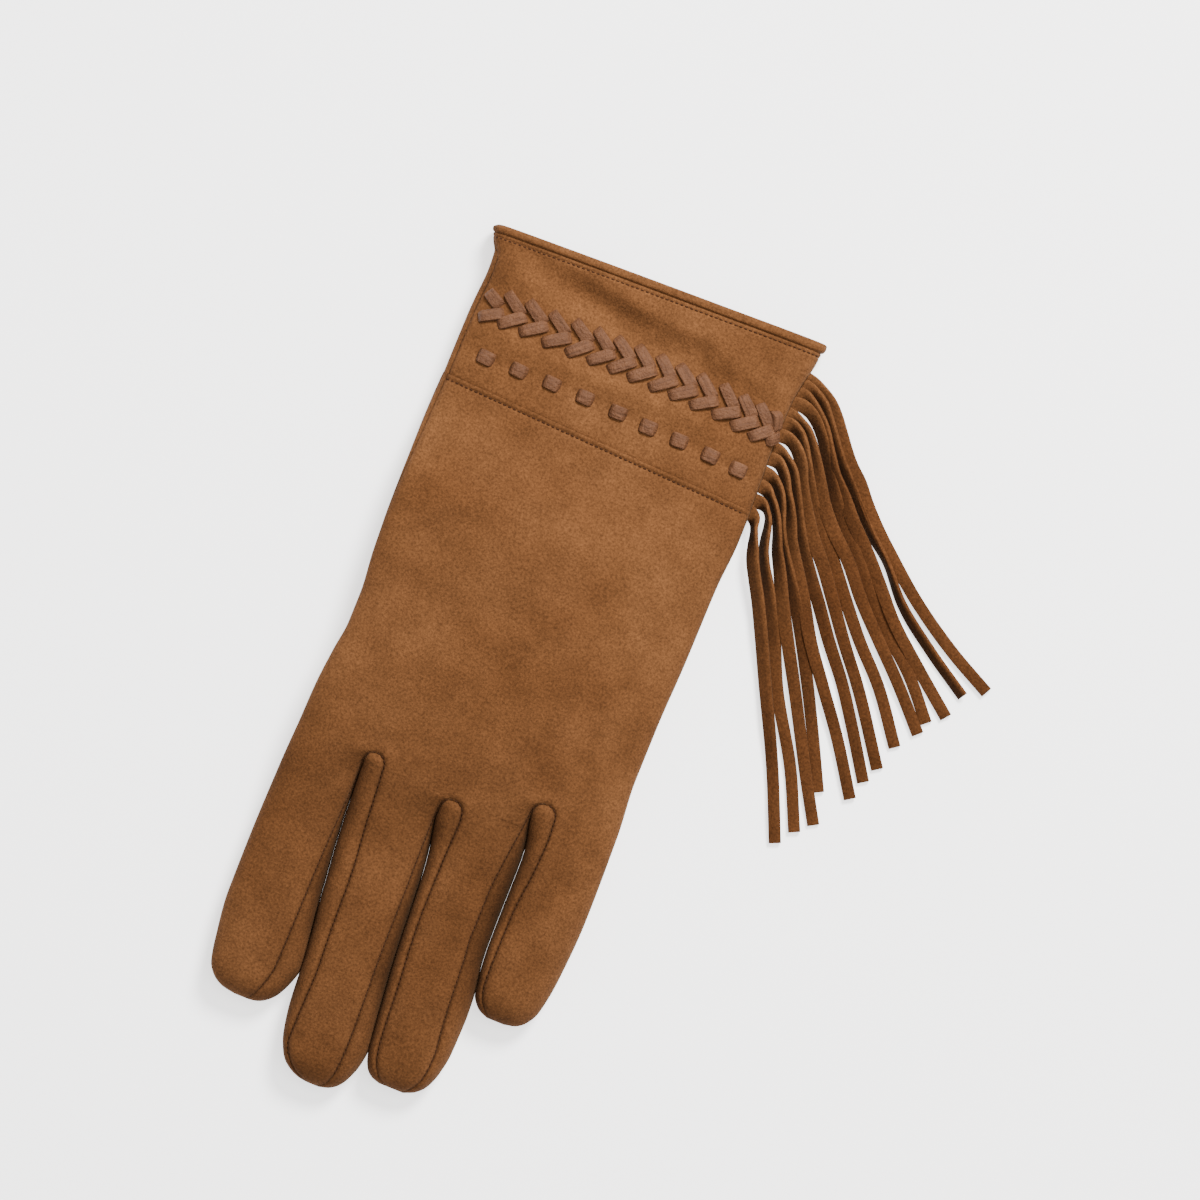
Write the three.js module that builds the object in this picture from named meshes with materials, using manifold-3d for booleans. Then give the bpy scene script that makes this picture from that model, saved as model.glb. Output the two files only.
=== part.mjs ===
// A fringed suede glove for the left hand, lying palm down on a table with its thumb folded flat
// under the palm. Millimetres, +Z up, fingers towards -Y, little finger and fringe towards +X.
// It is sewn from panels: the back and the palm of the hand, three forked gussets between the
// fingers, a thumb bag, the two halves of a cuff with a rolled hem, a braided lace and a running
// lace on the cuff, and a row of cut strips held in the cuff's side seam.
import * as THREE from "three";
import { mergeVertices } from "three/addons/utils/BufferGeometryUtils.js";
import Module from "manifold-3d";

const wasm = await Module();
wasm.setup();

// Driving dimensions.
const SUEDE = 1.2; // thickness of every sewn wall
const GAP = 0.3; // clearance between neighbouring pieces
const SLIVER = 0.03; // facets narrower than this are merged into their neighbours
const SEAM_Z = 5.4; // height of the side seams above the underside
const HAND_HEIGHT = 13;
const FINGER_HEIGHT = 12.2;
const MOUTH_HEIGHT = 15; // the cuff stands a little open at the wrist
const HAND_POWER = 4; // flatness of the hand's section, 2 is an ellipse
const FINGER_POWER = 2.6;
const HAND_COLUMNS = 12; // facets across the hand, and across a finger
const FINGER_COLUMNS = 7;
const FLAT_SHARE = 1.14; // how much of each underside is pressed flat on the table
const WEB_DEPTH = 12; // the crotch between two fingers slopes back this far from back to palm
const HEM_WIDTH = 2.8;
const HEM_GROW = 0.55; // the rolled hem stands proud of the wall on both sides

// The folded thumb and the hump that it makes in the palm above it.
const THUMB = {
  height: 5.4,
  wall: 1.0,
  rootX: -27,
  rootY: 14,
  heading: -50,
  length: 57,
  rootHalf: 15,
  tipHalf: 12.5,
  holeAcross: 9,
  holeAlong: 15,
};
const LIFT = THUMB.height + GAP;
const LIFT_FADE = { xStart: 20, xEnd: 46, tipStart: -42, tipEnd: -76, wristStart: 24, wristEnd: 50 };

// The cuff's lower seam and its open edge both slant a little: y = at + slope * x.
const CUFF_SEAM = { at: 53.5, slope: -0.033 };
const CUFF_EDGE = { at: 102, slope: 0.029 };
// A soft crease runs across the cuff between the hem and the braid.
const CREASE = { x0: -28, y0: 94.3, x1: 15, y1: 89.7, depth: 1.1, width: 3.4 };

// Outline of the hand from the wrist seam to the knuckles.
const HAND_ROWS = [
  { y: 53.5, left: -44.6, right: 47.4 },
  { y: 45, left: -46.5, right: 47.5 },
  { y: 36, left: -46.7, right: 46.9 },
  { y: 27, left: -46.6, right: 46.5 },
  { y: 12, left: -46.2, right: 46.4 },
  { y: -8, left: -44.6, right: 45.9 },
  { y: -24, left: -45.8, right: 45.6 },
  { y: -36, left: -46.9, right: 46.6 },
];
const KNUCKLE_ROW = { left: -46.8, right: 46.8 };
// Outline of the cuff, by its share of the way from the seam to the open edge.
const CUFF_ROWS = [
  { share: 0, left: -44.2, right: 47.4 },
  { share: 0.2, left: -44.4, right: 46.9 },
  { share: 0.4, left: -44.7, right: 46.5 },
  { share: 0.62, left: -44.3, right: 46.8 },
  { share: 0.76, left: -44.9, right: 47.9 },
  { share: 0.88, left: -46.8, right: 48.9 },
  { share: 1, left: -48, right: 49.4 },
];
// Outline of each finger, from inside the hand to the start of its round tip.
const FINGERS = {
  index: {
    tipY: -125,
    rows: [
      { y: -34, left: -46.2, right: -26.2 },
      { y: -52, left: -46.9, right: -26.5 },
      { y: -72, left: -47.5, right: -25.6 },
      { y: -92, left: -47.4, right: -23.6 },
      { y: -112, left: -45.8, right: -21.4 },
    ],
  },
  middle: {
    tipY: -140.4,
    rows: [
      { y: -34, left: -25.6, right: -2.5 },
      { y: -54, left: -25.9, right: -2.3 },
      { y: -74, left: -24.8, right: 0.4 },
      { y: -94, left: -22.9, right: 2.7 },
      { y: -112, left: -20.8, right: 4 },
      { y: -126, left: -19, right: 4.9 },
    ],
  },
  ring: {
    tipY: -133.1,
    rows: [
      { y: -34, left: -1.9, right: 21.8 },
      { y: -54, left: -1.7, right: 22.1 },
      { y: -74, left: 1, right: 21.8 },
      { y: -94, left: 3.3, right: 22.6 },
      { y: -108, left: 4.5, right: 25.3 },
      { y: -121, left: 5.4, right: 25.1 },
    ],
  },
  little: {
    tipY: -105.1,
    rows: [
      { y: -30, left: 22.3, right: 46 },
      { y: -48, left: 22.5, right: 46.8 },
      { y: -66, left: 22.7, right: 47.4 },
      { y: -82, left: 22.5, right: 46.8 },
      { y: -94, left: 23.8, right: 45.2 },
    ],
  },
};
// The seams that hold each gusset: left is the seam on the finger before it, right on the next.
const GUSSETS = {
  index_middle: {
    top: -47.8,
    end: { leftX: -30.5, leftY: -128.5, rightX: -15.5, rightY: -139.5 },
    rows: [
      { y: -51, left: -28.6, right: -20.3 },
      { y: -68, left: -28.2, right: -19.2 },
      { y: -82, left: -27.8, right: -17.8 },
      { y: -98, left: -27.6, right: -17.4 },
      { y: -112, left: -27.8, right: -16.6 },
      { y: -121, left: -29.4, right: -17.2 },
    ],
  },
  middle_ring: {
    top: -52,
    end: { leftX: -2, leftY: -142, rightX: 9, rightY: -135.5 },
    rows: [
      { y: -55, left: -4.6, right: 4.1 },
      { y: -66, left: -3.2, right: 4.6 },
      { y: -82, left: -1.2, right: 4.8 },
      { y: -100, left: -0.8, right: 6.4 },
      { y: -117, left: -1.2, right: 7.6 },
      { y: -125, left: -0.8, right: 8.2 },
    ],
  },
  ring_little: {
    top: -43.5,
    end: { leftX: 20.5, leftY: -135.5, rightX: 30.5, rightY: -107 },
    rows: [
      { y: -46.5, left: 19.4, right: 27.9 },
      { y: -55, left: 19.4, right: 29 },
      { y: -66, left: 19.4, right: 28.1 },
      { y: -80, left: 19.4, right: 27.4 },
      { y: -94, left: 19.9, right: 27.8 },
      { y: -99, left: 20.6, right: 28.4 },
    ],
  },
};
const KNUCKLES = [
  { x: -46, y: -44 },
  { x: -23, y: -47.8 },
  { x: 1, y: -52 },
  { x: 25, y: -43.5 },
  { x: 46, y: -40 },
];

// The laces on the cuff.
const RUNNING_LACE = { width: 3.3, thick: 0.9, count: 9, firstX: -36.9, pitch: 9.6, stitch: 4.8, y: 64.9, slope: -0.036 };
const BRAID = { bars: 14, firstX: -39.2, pitch: 5.98, y: 79.4, slope: -0.02, rise: 4.0, run: 5.4, width: 3.7, thick: 1.3 };

// The fringe: strips cut from one band of suede, numbered from the wrist seam to the hem.
const STRIP = { width: 3.2, thick: 1.0, firstY: 54.6, pitch: 3.45 };
const STRIP_STATIONS = [0, 0.02, 0.042, 0.075, 0.13, 0.25, 0.45, 0.7, 1]; // shares of its length
const STRIP_TURN = 62; // degrees that a strip turns on edge round its bend
const HEADER = { inside: 3.2, outside: 1.3, thick: 1.0 };
const STRIPS = [
  { bendX: 54, bendY: 44, midX: 64.3, midY: 14.7, tipX: 88.2, tipY: -30.4 },
  { bendX: 57, bendY: 44.5, midX: 72, midY: 12, tipX: 92.1, tipY: -25.3 },
  { bendX: 59.6, bendY: 46, midX: 77, midY: 9.5, tipX: 96.3, tipY: -21.5 },
  { bendX: 61.6, bendY: 49, midX: 81, midY: 15, tipX: 96.5, tipY: -12.5 },
  { bendX: 64, bendY: 52.5, midX: 84.5, midY: 16, tipX: 102.5, tipY: -10.5 },
  { bendX: 66.2, bendY: 55.5, midX: 85.5, midY: 22, tipX: 104.8, tipY: -4 },
  { bendX: 68.6, bendY: 58.5, midX: 88.5, midY: 26.5, tipX: 107.5, tipY: 1 },
  { bendX: 70.9, bendY: 62, midX: 90.5, midY: 31.5, tipX: 110, tipY: 8 },
  { bendX: 73.2, bendY: 65, midX: 93, midY: 34.5, tipX: 113.8, tipY: 12.5 },
  { bendX: 76, bendY: 67.5, midX: 95.5, midY: 38, tipX: 115.5, tipY: 16.5 },
  { bendX: 78.6, bendY: 71, midX: 98, midY: 42, tipX: 119.3, tipY: 20.6 },
  { bendX: 80.8, bendY: 73.5, midX: 100.5, midY: 46, tipX: 121.5, tipY: 27.6 },
  { bendX: 82.8, bendY: 76.5, midX: 103.5, midY: 50, tipX: 127, tipY: 32 },
];

const mix = THREE.MathUtils.lerp;
const smoothstep = THREE.MathUtils.smoothstep;
const clamp = THREE.MathUtils.clamp;

// Value of a column of a table between its rows, which may run up or down the key.
function along(rows, key, at, column) {
  const rising = rows[rows.length - 1][key] > rows[0][key];
  const passed = rows.findIndex((row) => (rising ? row[key] >= at : row[key] <= at));
  if (passed === 0) return rows[0][column];
  if (passed < 0) return rows[rows.length - 1][column];
  const [before, after] = [rows[passed - 1], rows[passed]];
  const share = (at - before[key]) / (after[key] - before[key]);
  return mix(before[column], after[column], share);
}

// How far the folded thumb lifts the hand off the table.
function lift(x, y) {
  const across = 1 - smoothstep(x, LIFT_FADE.xStart, LIFT_FADE.xEnd);
  const fromTips = smoothstep(y, LIFT_FADE.tipEnd, LIFT_FADE.tipStart);
  const fromWrist = 1 - smoothstep(y, LIFT_FADE.wristStart, LIFT_FADE.wristEnd);
  return LIFT * across * fromTips * fromWrist;
}

// Depth of the soft crease at a point of the cuff's upper face.
function crease(x, y) {
  const dx = CREASE.x1 - CREASE.x0;
  const dy = CREASE.y1 - CREASE.y0;
  const share = clamp(((x - CREASE.x0) * dx + (y - CREASE.y0) * dy) / (dx * dx + dy * dy), 0, 1);
  const away = Math.hypot(x - CREASE.x0 - share * dx, y - CREASE.y0 - share * dy);
  return CREASE.depth * Math.exp(-((away / CREASE.width) ** 2));
}

// A rounded section's height above its side seam, 1 in the middle and 0 at u = -1 and 1.
function dome(u, power) {
  return Math.max(0, 1 - Math.abs(u) ** power) ** (1 / power);
}

// One ring of points round a flattened tube: along the upper face from left to right, then back
// along the underside. Inset moves it inwards by a wall's thickness.
function ring({ left, right, height, power, columns, inset = 0, yTop, yBottom = yTop, dent }) {
  const centre = (left + right) / 2;
  const half = Math.max((right - left) / 2 - inset, 0.05);
  const upper = [];
  const lower = [];
  for (let i = 0; i <= columns; i++) {
    const u = -Math.cos((Math.PI * i) / columns);
    const x = centre + half * u;
    const arch = i === 0 || i === columns ? 0 : dome(u, power);
    const top = SEAM_Z + Math.max(height - SEAM_Z - inset, 0.05) * arch;
    const bottom = SEAM_Z - Math.max(SEAM_Z - inset, 0.05) * Math.min(1, arch * FLAT_SHARE);
    const [yt, yb] = [yTop(x), yBottom(x)];
    upper.push(new THREE.Vector3(x, yt, top + lift(x, yt) - (dent ? dent(x, yt) * arch : 0)));
    lower.push(new THREE.Vector3(x, yb, bottom + lift(x, yb)));
  }
  return [...upper, ...lower.slice(1, -1).reverse()];
}

function solidFrom(points, faces) {
  let volume = 0;
  for (const [a, b, c] of faces) volume += points[a].dot(points[b].clone().cross(points[c]));
  const turned = volume < 0 ? faces.map(([a, b, c]) => [a, c, b]) : faces;
  const geometry = new THREE.BufferGeometry().setFromPoints(points);
  geometry.setIndex(turned.flat());
  return solidOf(geometry);
}

function solidOf(geometry) {
  const bare = geometry.clone();
  bare.deleteAttribute("normal");
  bare.deleteAttribute("uv");
  const merged = mergeVertices(bare, 1e-4);
  return new wasm.Manifold(
    new wasm.Mesh({
      numProp: 3,
      vertProperties: new Float32Array(merged.attributes.position.array),
      triVerts: new Uint32Array(merged.index.array),
    }),
  );
}

// Joins rings into a closed solid. Each end is closed across from its upper to its lower face.
function loft(rings) {
  const count = rings[0].length;
  const points = rings.flat();
  const faces = [];
  for (let r = 0; r + 1 < rings.length; r++)
    for (let i = 0; i < count; i++) {
      const a = r * count + i;
      const b = r * count + ((i + 1) % count);
      faces.push([a, b, b + count], [a, b + count, a + count]);
    }
  for (const [start, flip] of [
    [0, true],
    [(rings.length - 1) * count, false],
  ])
    for (let i = 0; i < count / 2; i++) {
      const [a, b] = [start + i, start + i + 1];
      const [c, d] = [start + count - i - 1, start + ((count - i) % count)];
      const quad = i === 0 ? [[a, b, c]] : [[a, b, c], [a, c, d]];
      const kept = i === count / 2 - 1 ? [[a, b, d]] : quad;
      for (const [p, q, s] of kept) faces.push(flip ? [p, s, q] : [p, q, s]);
    }
  return solidFrom(points, faces);
}

function handSolid(inset) {
  const rings = HAND_ROWS.map((row, i) => {
    const open = i === 0 && inset > 0 ? 3 : 0;
    const slope = CUFF_SEAM.slope * (1 - i / HAND_ROWS.length);
    const back = i === 0 ? -GAP / 2 + open : 0;
    return ring({ ...row, height: HAND_HEIGHT, power: HAND_POWER, columns: HAND_COLUMNS, inset, yTop: (x) => row.y + slope * x + back });
  });
  const knuckle = (x) => along(KNUCKLES, "x", x, "y") + inset * 1.3;
  rings.push(
    ring({
      ...KNUCKLE_ROW,
      height: HAND_HEIGHT,
      power: HAND_POWER,
      columns: HAND_COLUMNS,
      inset,
      yTop: knuckle,
      yBottom: (x) => knuckle(x) - WEB_DEPTH,
    }),
  );
  return loft(rings);
}

function fingerSolid({ tipY, rows }, inset) {
  const last = rows[rows.length - 1];
  const tip = tipY + inset;
  const round = last.y - tip;
  const centre = (last.left + last.right) / 2;
  const section = (left, right, y, height, power) =>
    ring({ left, right, height, power, columns: FINGER_COLUMNS, inset, yTop: () => y });
  const rings = rows.map(({ left, right, y }, i) => {
    const share = Math.min(1, i / 2);
    const height = mix(HAND_HEIGHT - 0.3, FINGER_HEIGHT, share);
    return section(left, right, y, height, mix(HAND_POWER, FINGER_POWER, share));
  });
  for (const turn of [28, 56, 80]) {
    const reach = THREE.MathUtils.degToRad(turn);
    const half = (last.right - last.left) / 2;
    const narrowed = inset + (half - inset) * Math.cos(reach);
    const top = SEAM_Z + inset + (FINGER_HEIGHT - SEAM_Z - inset) * Math.cos(reach) ** 0.8;
    rings.push(section(centre - narrowed, centre + narrowed, last.y - round * Math.sin(reach), top, FINGER_POWER));
  }
  return loft(rings);
}

// A solid that fills the space above (or below) the side seams, which ride over the hump.
function besideSeam(sign) {
  const { xStart, xEnd, tipStart, tipEnd, wristStart, wristEnd } = LIFT_FADE;
  const steps = [0, 0.25, 0.5, 0.75, 1];
  const columns = [-60, ...steps.map((share) => mix(xStart, xEnd, share)), 60];
  const wrist = steps.map((share) => mix(wristEnd, wristStart, share));
  const tips = steps.map((share) => mix(tipStart, tipEnd, share));
  const level = SEAM_Z + (sign * GAP) / 2;
  const rings = [60, ...wrist, ...tips, -150].map((y) => {
    const row = columns.map((x) => new THREE.Vector3(x, y, level + lift(x, y)));
    const far = columns.map((x) => new THREE.Vector3(x, y, sign * 60));
    return [...row, ...far.reverse()];
  });
  return loftWall(rings);
}

// As loft, for rings whose first half lies over their second half, with both edges open.
function loftWall(rings) {
  const count = rings[0].length;
  const points = rings.flat();
  const faces = [];
  for (let r = 0; r + 1 < rings.length; r++)
    for (let i = 0; i < count; i++) {
      const a = r * count + i;
      const b = r * count + ((i + 1) % count);
      faces.push([a, b, b + count], [a, b + count, a + count]);
    }
  for (const [start, flip] of [
    [0, true],
    [(rings.length - 1) * count, false],
  ])
    for (let i = 0; i + 1 < count / 2; i++) {
      const [a, b, c, d] = [start + i, start + i + 1, start + count - i - 2, start + count - i - 1];
      for (const [p, q, s] of [[a, b, c], [a, c, d]]) faces.push(flip ? [p, s, q] : [p, q, s]);
    }
  return solidFrom(points, faces);
}

// Upright prism over a gusset's outline. Grow widens it, and lower starts it nearer the tips.
function gussetPrism({ top, end, rows }, grow, lower = 0) {
  const start = top - lower - (rows[0].right - rows[0].left) / 2;
  const kept = rows.filter((row) => row.y < start - 1);
  const [left, right] = ["left", "right"].map((side) => along(rows, "y", start, side));
  const shape = new THREE.Shape();
  shape.absarc((left + right) / 2, start, (right - left) / 2 + grow, 0, Math.PI, false);
  for (const row of kept) shape.lineTo(row.left - grow, row.y);
  shape.lineTo(end.leftX - grow, end.leftY);
  shape.lineTo(end.leftX + 1, end.leftY - 1);
  shape.lineTo(end.rightX + grow, end.rightY);
  for (const row of kept.reverse()) shape.lineTo(row.right + grow, row.y);
  const geometry = new THREE.ExtrudeGeometry(shape, { depth: 60, bevelEnabled: false, curveSegments: 6 });
  return solidOf(geometry.translate(0, 0, -20));
}

// Upright elliptical prism through the thumb hole.
function thumbHole() {
  const shape = new THREE.Shape();
  shape.absellipse(THUMB.rootX, THUMB.rootY, THUMB.holeAcross, THUMB.holeAlong, 0, 2 * Math.PI);
  const geometry = new THREE.ExtrudeGeometry(shape, { depth: 12, bevelEnabled: false, curveSegments: 14 });
  return solidOf(geometry.translate(0, 0, THUMB.height / 2 - 0.4));
}

// The flattened thumb bag, as an outer or an inner solid.
function thumbSolid(inset) {
  const middle = THUMB.height / 2;
  const columns = FINGER_COLUMNS;
  const rings = [];
  const shares = [-0.98, -0.75, -0.4, 0, 0.3, 0.6, 0.8, 0.92, 0.99];
  for (const share of shares) {
    const far = share > 0.5 ? (share - 0.5) / 0.5 : share < 0 ? share : 0;
    const full = mix(THUMB.rootHalf, THUMB.tipHalf, clamp(share / 0.6, 0, 1));
    const closing = Math.sqrt(Math.max(0, 1 - far * far));
    const reach = share < 0 ? share * THUMB.rootHalf : share * THUMB.length;
    const s = reach - Math.sign(share) * inset;
    const half = Math.max((full - inset) * closing, 0.05);
    const rise = Math.max((middle - inset) * Math.min(1, closing * 1.35), 0.05);
    const upper = [];
    const lower = [];
    for (let i = 0; i <= columns; i++) {
      const u = -Math.cos((Math.PI * i) / columns);
      const arch = i === 0 || i === columns ? 0 : Math.min(1, dome(u, FINGER_POWER) * FLAT_SHARE);
      upper.push(new THREE.Vector3(s, half * u, middle + rise * arch));
      lower.push(new THREE.Vector3(s, half * u, middle - rise * arch));
    }
    rings.push([...upper, ...lower.slice(1, -1).reverse()]);
  }
  const place = new THREE.Matrix4()
    .makeTranslation(THUMB.rootX, THUMB.rootY, 0)
    .multiply(new THREE.Matrix4().makeRotationZ(THREE.MathUtils.degToRad(THUMB.heading)));
  return loft(rings.map((points) => points.map((p) => p.applyMatrix4(place))));
}

// Left or right edge of the cuff at a height y above the origin.
function cuffEdge(y, side) {
  const share = (y - CUFF_SEAM.at) / (CUFF_EDGE.at - CUFF_SEAM.at);
  return along(CUFF_ROWS, "share", share, side);
}

function cuffTop(x, y) {
  const [left, right] = [cuffEdge(y, "left"), cuffEdge(y, "right")];
  const u = clamp((2 * x - left - right) / (right - left), -1, 1);
  const arch = dome(u, HAND_POWER);
  const share = clamp((y - CUFF_SEAM.at) / (CUFF_EDGE.at - CUFF_SEAM.at), 0, 1);
  const height = mix(HAND_HEIGHT, MOUTH_HEIGHT, share);
  return SEAM_Z + (height - SEAM_Z) * arch - crease(x, y) * arch;
}

function cuffSolid(inset) {
  const hem = HEM_WIDTH / (CUFF_EDGE.at - CUFF_SEAM.at);
  const shares = [0, 0.14, 0.28, 0.42, 0.56, 0.66, 0.73, 0.79, 0.85, 0.91].map((share) => ({ share, grow: 0 }));
  shares.push({ share: 1 - hem * 1.15, grow: 0 }, { share: 1 - hem * 0.9, grow: HEM_GROW });
  shares.push({ share: 1 - hem * 0.15, grow: HEM_GROW }, { share: 1, grow: HEM_GROW * 0.2 });
  const over = 3;
  const rings = shares.map(({ share, grow }, i) => {
    const ends = inset > 0 ? (i === 0 ? -over : i === shares.length - 1 ? over : 0) : 0;
    const shift = i === 0 ? GAP / 2 : 0;
    const wider = inset > 0 ? -grow : grow;
    return ring({
      left: along(CUFF_ROWS, "share", share, "left") - wider,
      right: along(CUFF_ROWS, "share", share, "right") + wider,
      height: mix(HAND_HEIGHT, MOUTH_HEIGHT, share) + (inset > 0 ? -grow : grow),
      power: HAND_POWER,
      columns: HAND_COLUMNS,
      inset,
      yTop: (x) => mix(CUFF_SEAM.at + CUFF_SEAM.slope * x, CUFF_EDGE.at + CUFF_EDGE.slope * x, share) + shift + ends,
      dent: crease,
    });
  });
  return loft(rings);
}

// A strip with a rectangular section along stations of centre, across direction and up direction.
function ribbon(stations, width, thick) {
  const rings = stations.map(({ centre, across, up }) => {
    const corner = (a, b) => centre.clone().addScaledVector(across, (a * width) / 2).addScaledVector(up, (b * thick) / 2);
    return [corner(-1, 1), corner(1, 1), corner(1, -1), corner(-1, -1)];
  });
  return loftWall(rings);
}

// The running lace dips through the cuff between its stitches.
function runningLace(grow) {
  const { width, thick, count, firstX, pitch, stitch, y, slope } = RUNNING_LACE;
  const over = GAP + thick / 2;
  const under = -SUEDE - GAP - thick / 2;
  const dip = 1.3;
  const stations = [];
  const add = (x, height) => {
    const along = y + slope * (x - firstX);
    const slant = cuffTop(x + 0.5, along) - cuffTop(x - 0.5, along);
    const up = new THREE.Vector3(-slant, 0, 1).normalize();
    const centre = new THREE.Vector3(x, along, cuffTop(x, along)).addScaledVector(up, height);
    stations.push({ centre, across: new THREE.Vector3(0, 1, 0), up });
  };
  for (let i = 0; i < count; i++) {
    const x = firstX + i * pitch;
    add(x - stitch / 2 - dip / 2, under);
    add(x - stitch / 2 + dip / 2, over);
    add(x + stitch / 2 - dip / 2, over);
    add(x + stitch / 2 + dip / 2, under);
  }
  return ribbon(stations, width + 2 * grow, thick + 2 * grow);
}

// The braid: bars slant in from both sides and cross over each other on the middle line.
function braid() {
  const { bars, firstX, pitch, y, slope, rise, run, width, thick } = BRAID;
  let whole = null;
  for (let i = 0; i < bars; i++)
    for (const side of [1, -1]) {
      const stations = [];
      const startX = firstX + i * pitch - (side < 0 ? 0.8 : 0);
      const across = new THREE.Vector3(side * rise, run, 0).normalize();
      for (const share of [0, 0.5, 1.12]) {
        const x = startX + run * share;
        const off = y + slope * (x - firstX) + side * rise * (1 - share);
        const edge = share === 0 || share > 1 ? thick * 0.3 : 0;
        const height = GAP + thick / 2 - edge / 2 + (side < 0 ? 0.2 * share : 0);
        const centre = new THREE.Vector3(x, off, cuffTop(x, off) + height);
        stations.push({ centre, across, up: new THREE.Vector3(0, 0, 1 - edge / thick) });
      }
      const bar = ribbon(stations, width, thick);
      whole = whole ? whole.add(bar) : bar;
    }
  return whole.subtract(cuffSolid(-GAP));
}

// The fringe's header lies in the side seam of the cuff, along its edge.
function header(grow) {
  const stations = [];
  const width = HEADER.inside + HEADER.outside + 2 * grow;
  const from = CUFF_SEAM.at - 0.6;
  const to = STRIP.firstY + STRIP.pitch * (STRIPS.length - 0.4);
  for (const share of [0, 0.25, 0.5, 0.75, 1]) {
    const y = mix(from - grow, to + grow, share);
    const middle = cuffEdge(y, "right") + (HEADER.outside - HEADER.inside) / 2;
    stations.push({ centre: new THREE.Vector3(middle, y, SEAM_Z), across: new THREE.Vector3(1, 0, 0), up: new THREE.Vector3(0, 0, 1) });
  }
  return ribbon(stations, width, HEADER.thick + 2 * grow);
}

// One strip leaves the seam flat, turns on edge round its bend and lies down on the table.
function strip({ bendX, bendY, midX, midY, tipX, tipY }, number) {
  const y = STRIP.firstY + STRIP.pitch * number;
  const x = cuffEdge(y, "right");
  const lying = STRIP.thick / 2 + 0.02 * number;
  const path = new THREE.CatmullRomCurve3(
    [
      new THREE.Vector3(x - 0.6, y, SEAM_Z),
      new THREE.Vector3(x + 2, y - 0.2, SEAM_Z),
      new THREE.Vector3(mix(x, bendX, 0.45), mix(y, bendY, 0.32), SEAM_Z * 0.9),
      new THREE.Vector3(bendX, bendY, mix(SEAM_Z, lying, 0.6)),
      new THREE.Vector3(midX, midY, lying),
      new THREE.Vector3(tipX, tipY, lying),
    ],
    false,
    "centripetal",
  );
  const stations = [];
  for (const share of STRIP_STATIONS) {
    const centre = path.getPointAt(share);
    const forward = path.getTangentAt(share);
    const side = new THREE.Vector3(forward.y, -forward.x, 0).normalize();
    const edge = THREE.MathUtils.degToRad(STRIP_TURN) * smoothstep(share, 0.02, 0.075) * (1 - smoothstep(share, 0.25, 0.9));
    const across = side.clone().multiplyScalar(Math.cos(edge)).add(new THREE.Vector3(0, 0, -Math.sin(edge)));
    const up = new THREE.Vector3().crossVectors(across, forward).normalize();
    const clear = (STRIP.width / 2) * Math.sin(edge) + (STRIP.thick / 2) * Math.abs(up.z);
    centre.z = Math.max(centre.z, clear);
    stations.push({ centre, across, up });
  }
  return ribbon(stations, STRIP.width, STRIP.thick);
}

function fringe() {
  return STRIPS.reduce((whole, row, number) => whole.add(strip(row, number)), header(0));
}

const SUEDE_BROWN = { color: 0x865632, roughness: 0.95, metalness: 0 };
const LACE_TAUPE = { color: 0x9a7052, roughness: 0.55, metalness: 0 };

// The largest body of a cut solid, without the slivers that a cut can leave.
function mainBody(solid) {
  return solid.decompose().reduce((most, body) => (body.volume() > most.volume() ? body : most));
}

function addPiece(group, name, solid, look) {
  const { vertProperties, triVerts } = mainBody(solid).simplify(SLIVER).getMesh();
  const geometry = new THREE.BufferGeometry();
  geometry.setAttribute("position", new THREE.BufferAttribute(new Float32Array(vertProperties), 3));
  geometry.setIndex(new THREE.BufferAttribute(new Uint32Array(triVerts), 1));
  geometry.computeVertexNormals();
  const mesh = new THREE.Mesh(geometry, new THREE.MeshStandardMaterial(look));
  mesh.name = name;
  group.add(mesh);
}

const fingers = Object.values(FINGERS);
const outside = fingers.reduce((body, finger) => body.add(fingerSolid(finger, 0)), handSolid(0));
const inside = fingers.reduce((body, finger) => body.add(fingerSolid(finger, SUEDE)), handSolid(SUEDE));
const wall = outside.subtract(inside);
const above = besideSeam(1);
const below = besideSeam(-1);

let back = wall.intersect(above);
let palm = wall.intersect(below).subtract(thumbHole());
const PALM_SLOT = 9; // the palm's slots start this much nearer the tips than the back's
const gussets = Object.entries(GUSSETS).map(([name, gusset]) => {
  back = back.subtract(gussetPrism(gusset, GAP / 2));
  palm = palm.subtract(gussetPrism(gusset, GAP / 2, PALM_SLOT));
  const upper = gussetPrism(gusset, -GAP / 2).intersect(above);
  return [name, wall.intersect(upper.add(gussetPrism(gusset, -GAP / 2, PALM_SLOT)))];
});

const lace = runningLace(0);
const cuff = cuffSolid(0).subtract(cuffSolid(SUEDE)).subtract(header(GAP)).subtract(runningLace(GAP));
const everything = 200;
const half = (sign) => {
  const block = new THREE.BoxGeometry(everything, everything, everything);
  return solidOf(block.translate(0, 80, SEAM_Z + (sign * (everything + GAP)) / 2));
};

const glove = new THREE.Group();
addPiece(glove, "back_panel", back, SUEDE_BROWN);
addPiece(glove, "palm_panel", palm, SUEDE_BROWN);
for (const [name, solid] of gussets) addPiece(glove, "gusset_" + name, solid, SUEDE_BROWN);
addPiece(glove, "thumb", thumbSolid(0).subtract(thumbSolid(THUMB.wall)).subtract(thumbHole()), SUEDE_BROWN);
addPiece(glove, "cuff_back", cuff.intersect(half(1)), SUEDE_BROWN);
addPiece(glove, "cuff_palm", cuff.intersect(half(-1)), SUEDE_BROWN);
addPiece(glove, "braided_lace", braid(), LACE_TAUPE);
addPiece(glove, "running_lace", lace, LACE_TAUPE);
addPiece(glove, "fringe", fringe(), SUEDE_BROWN);

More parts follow.
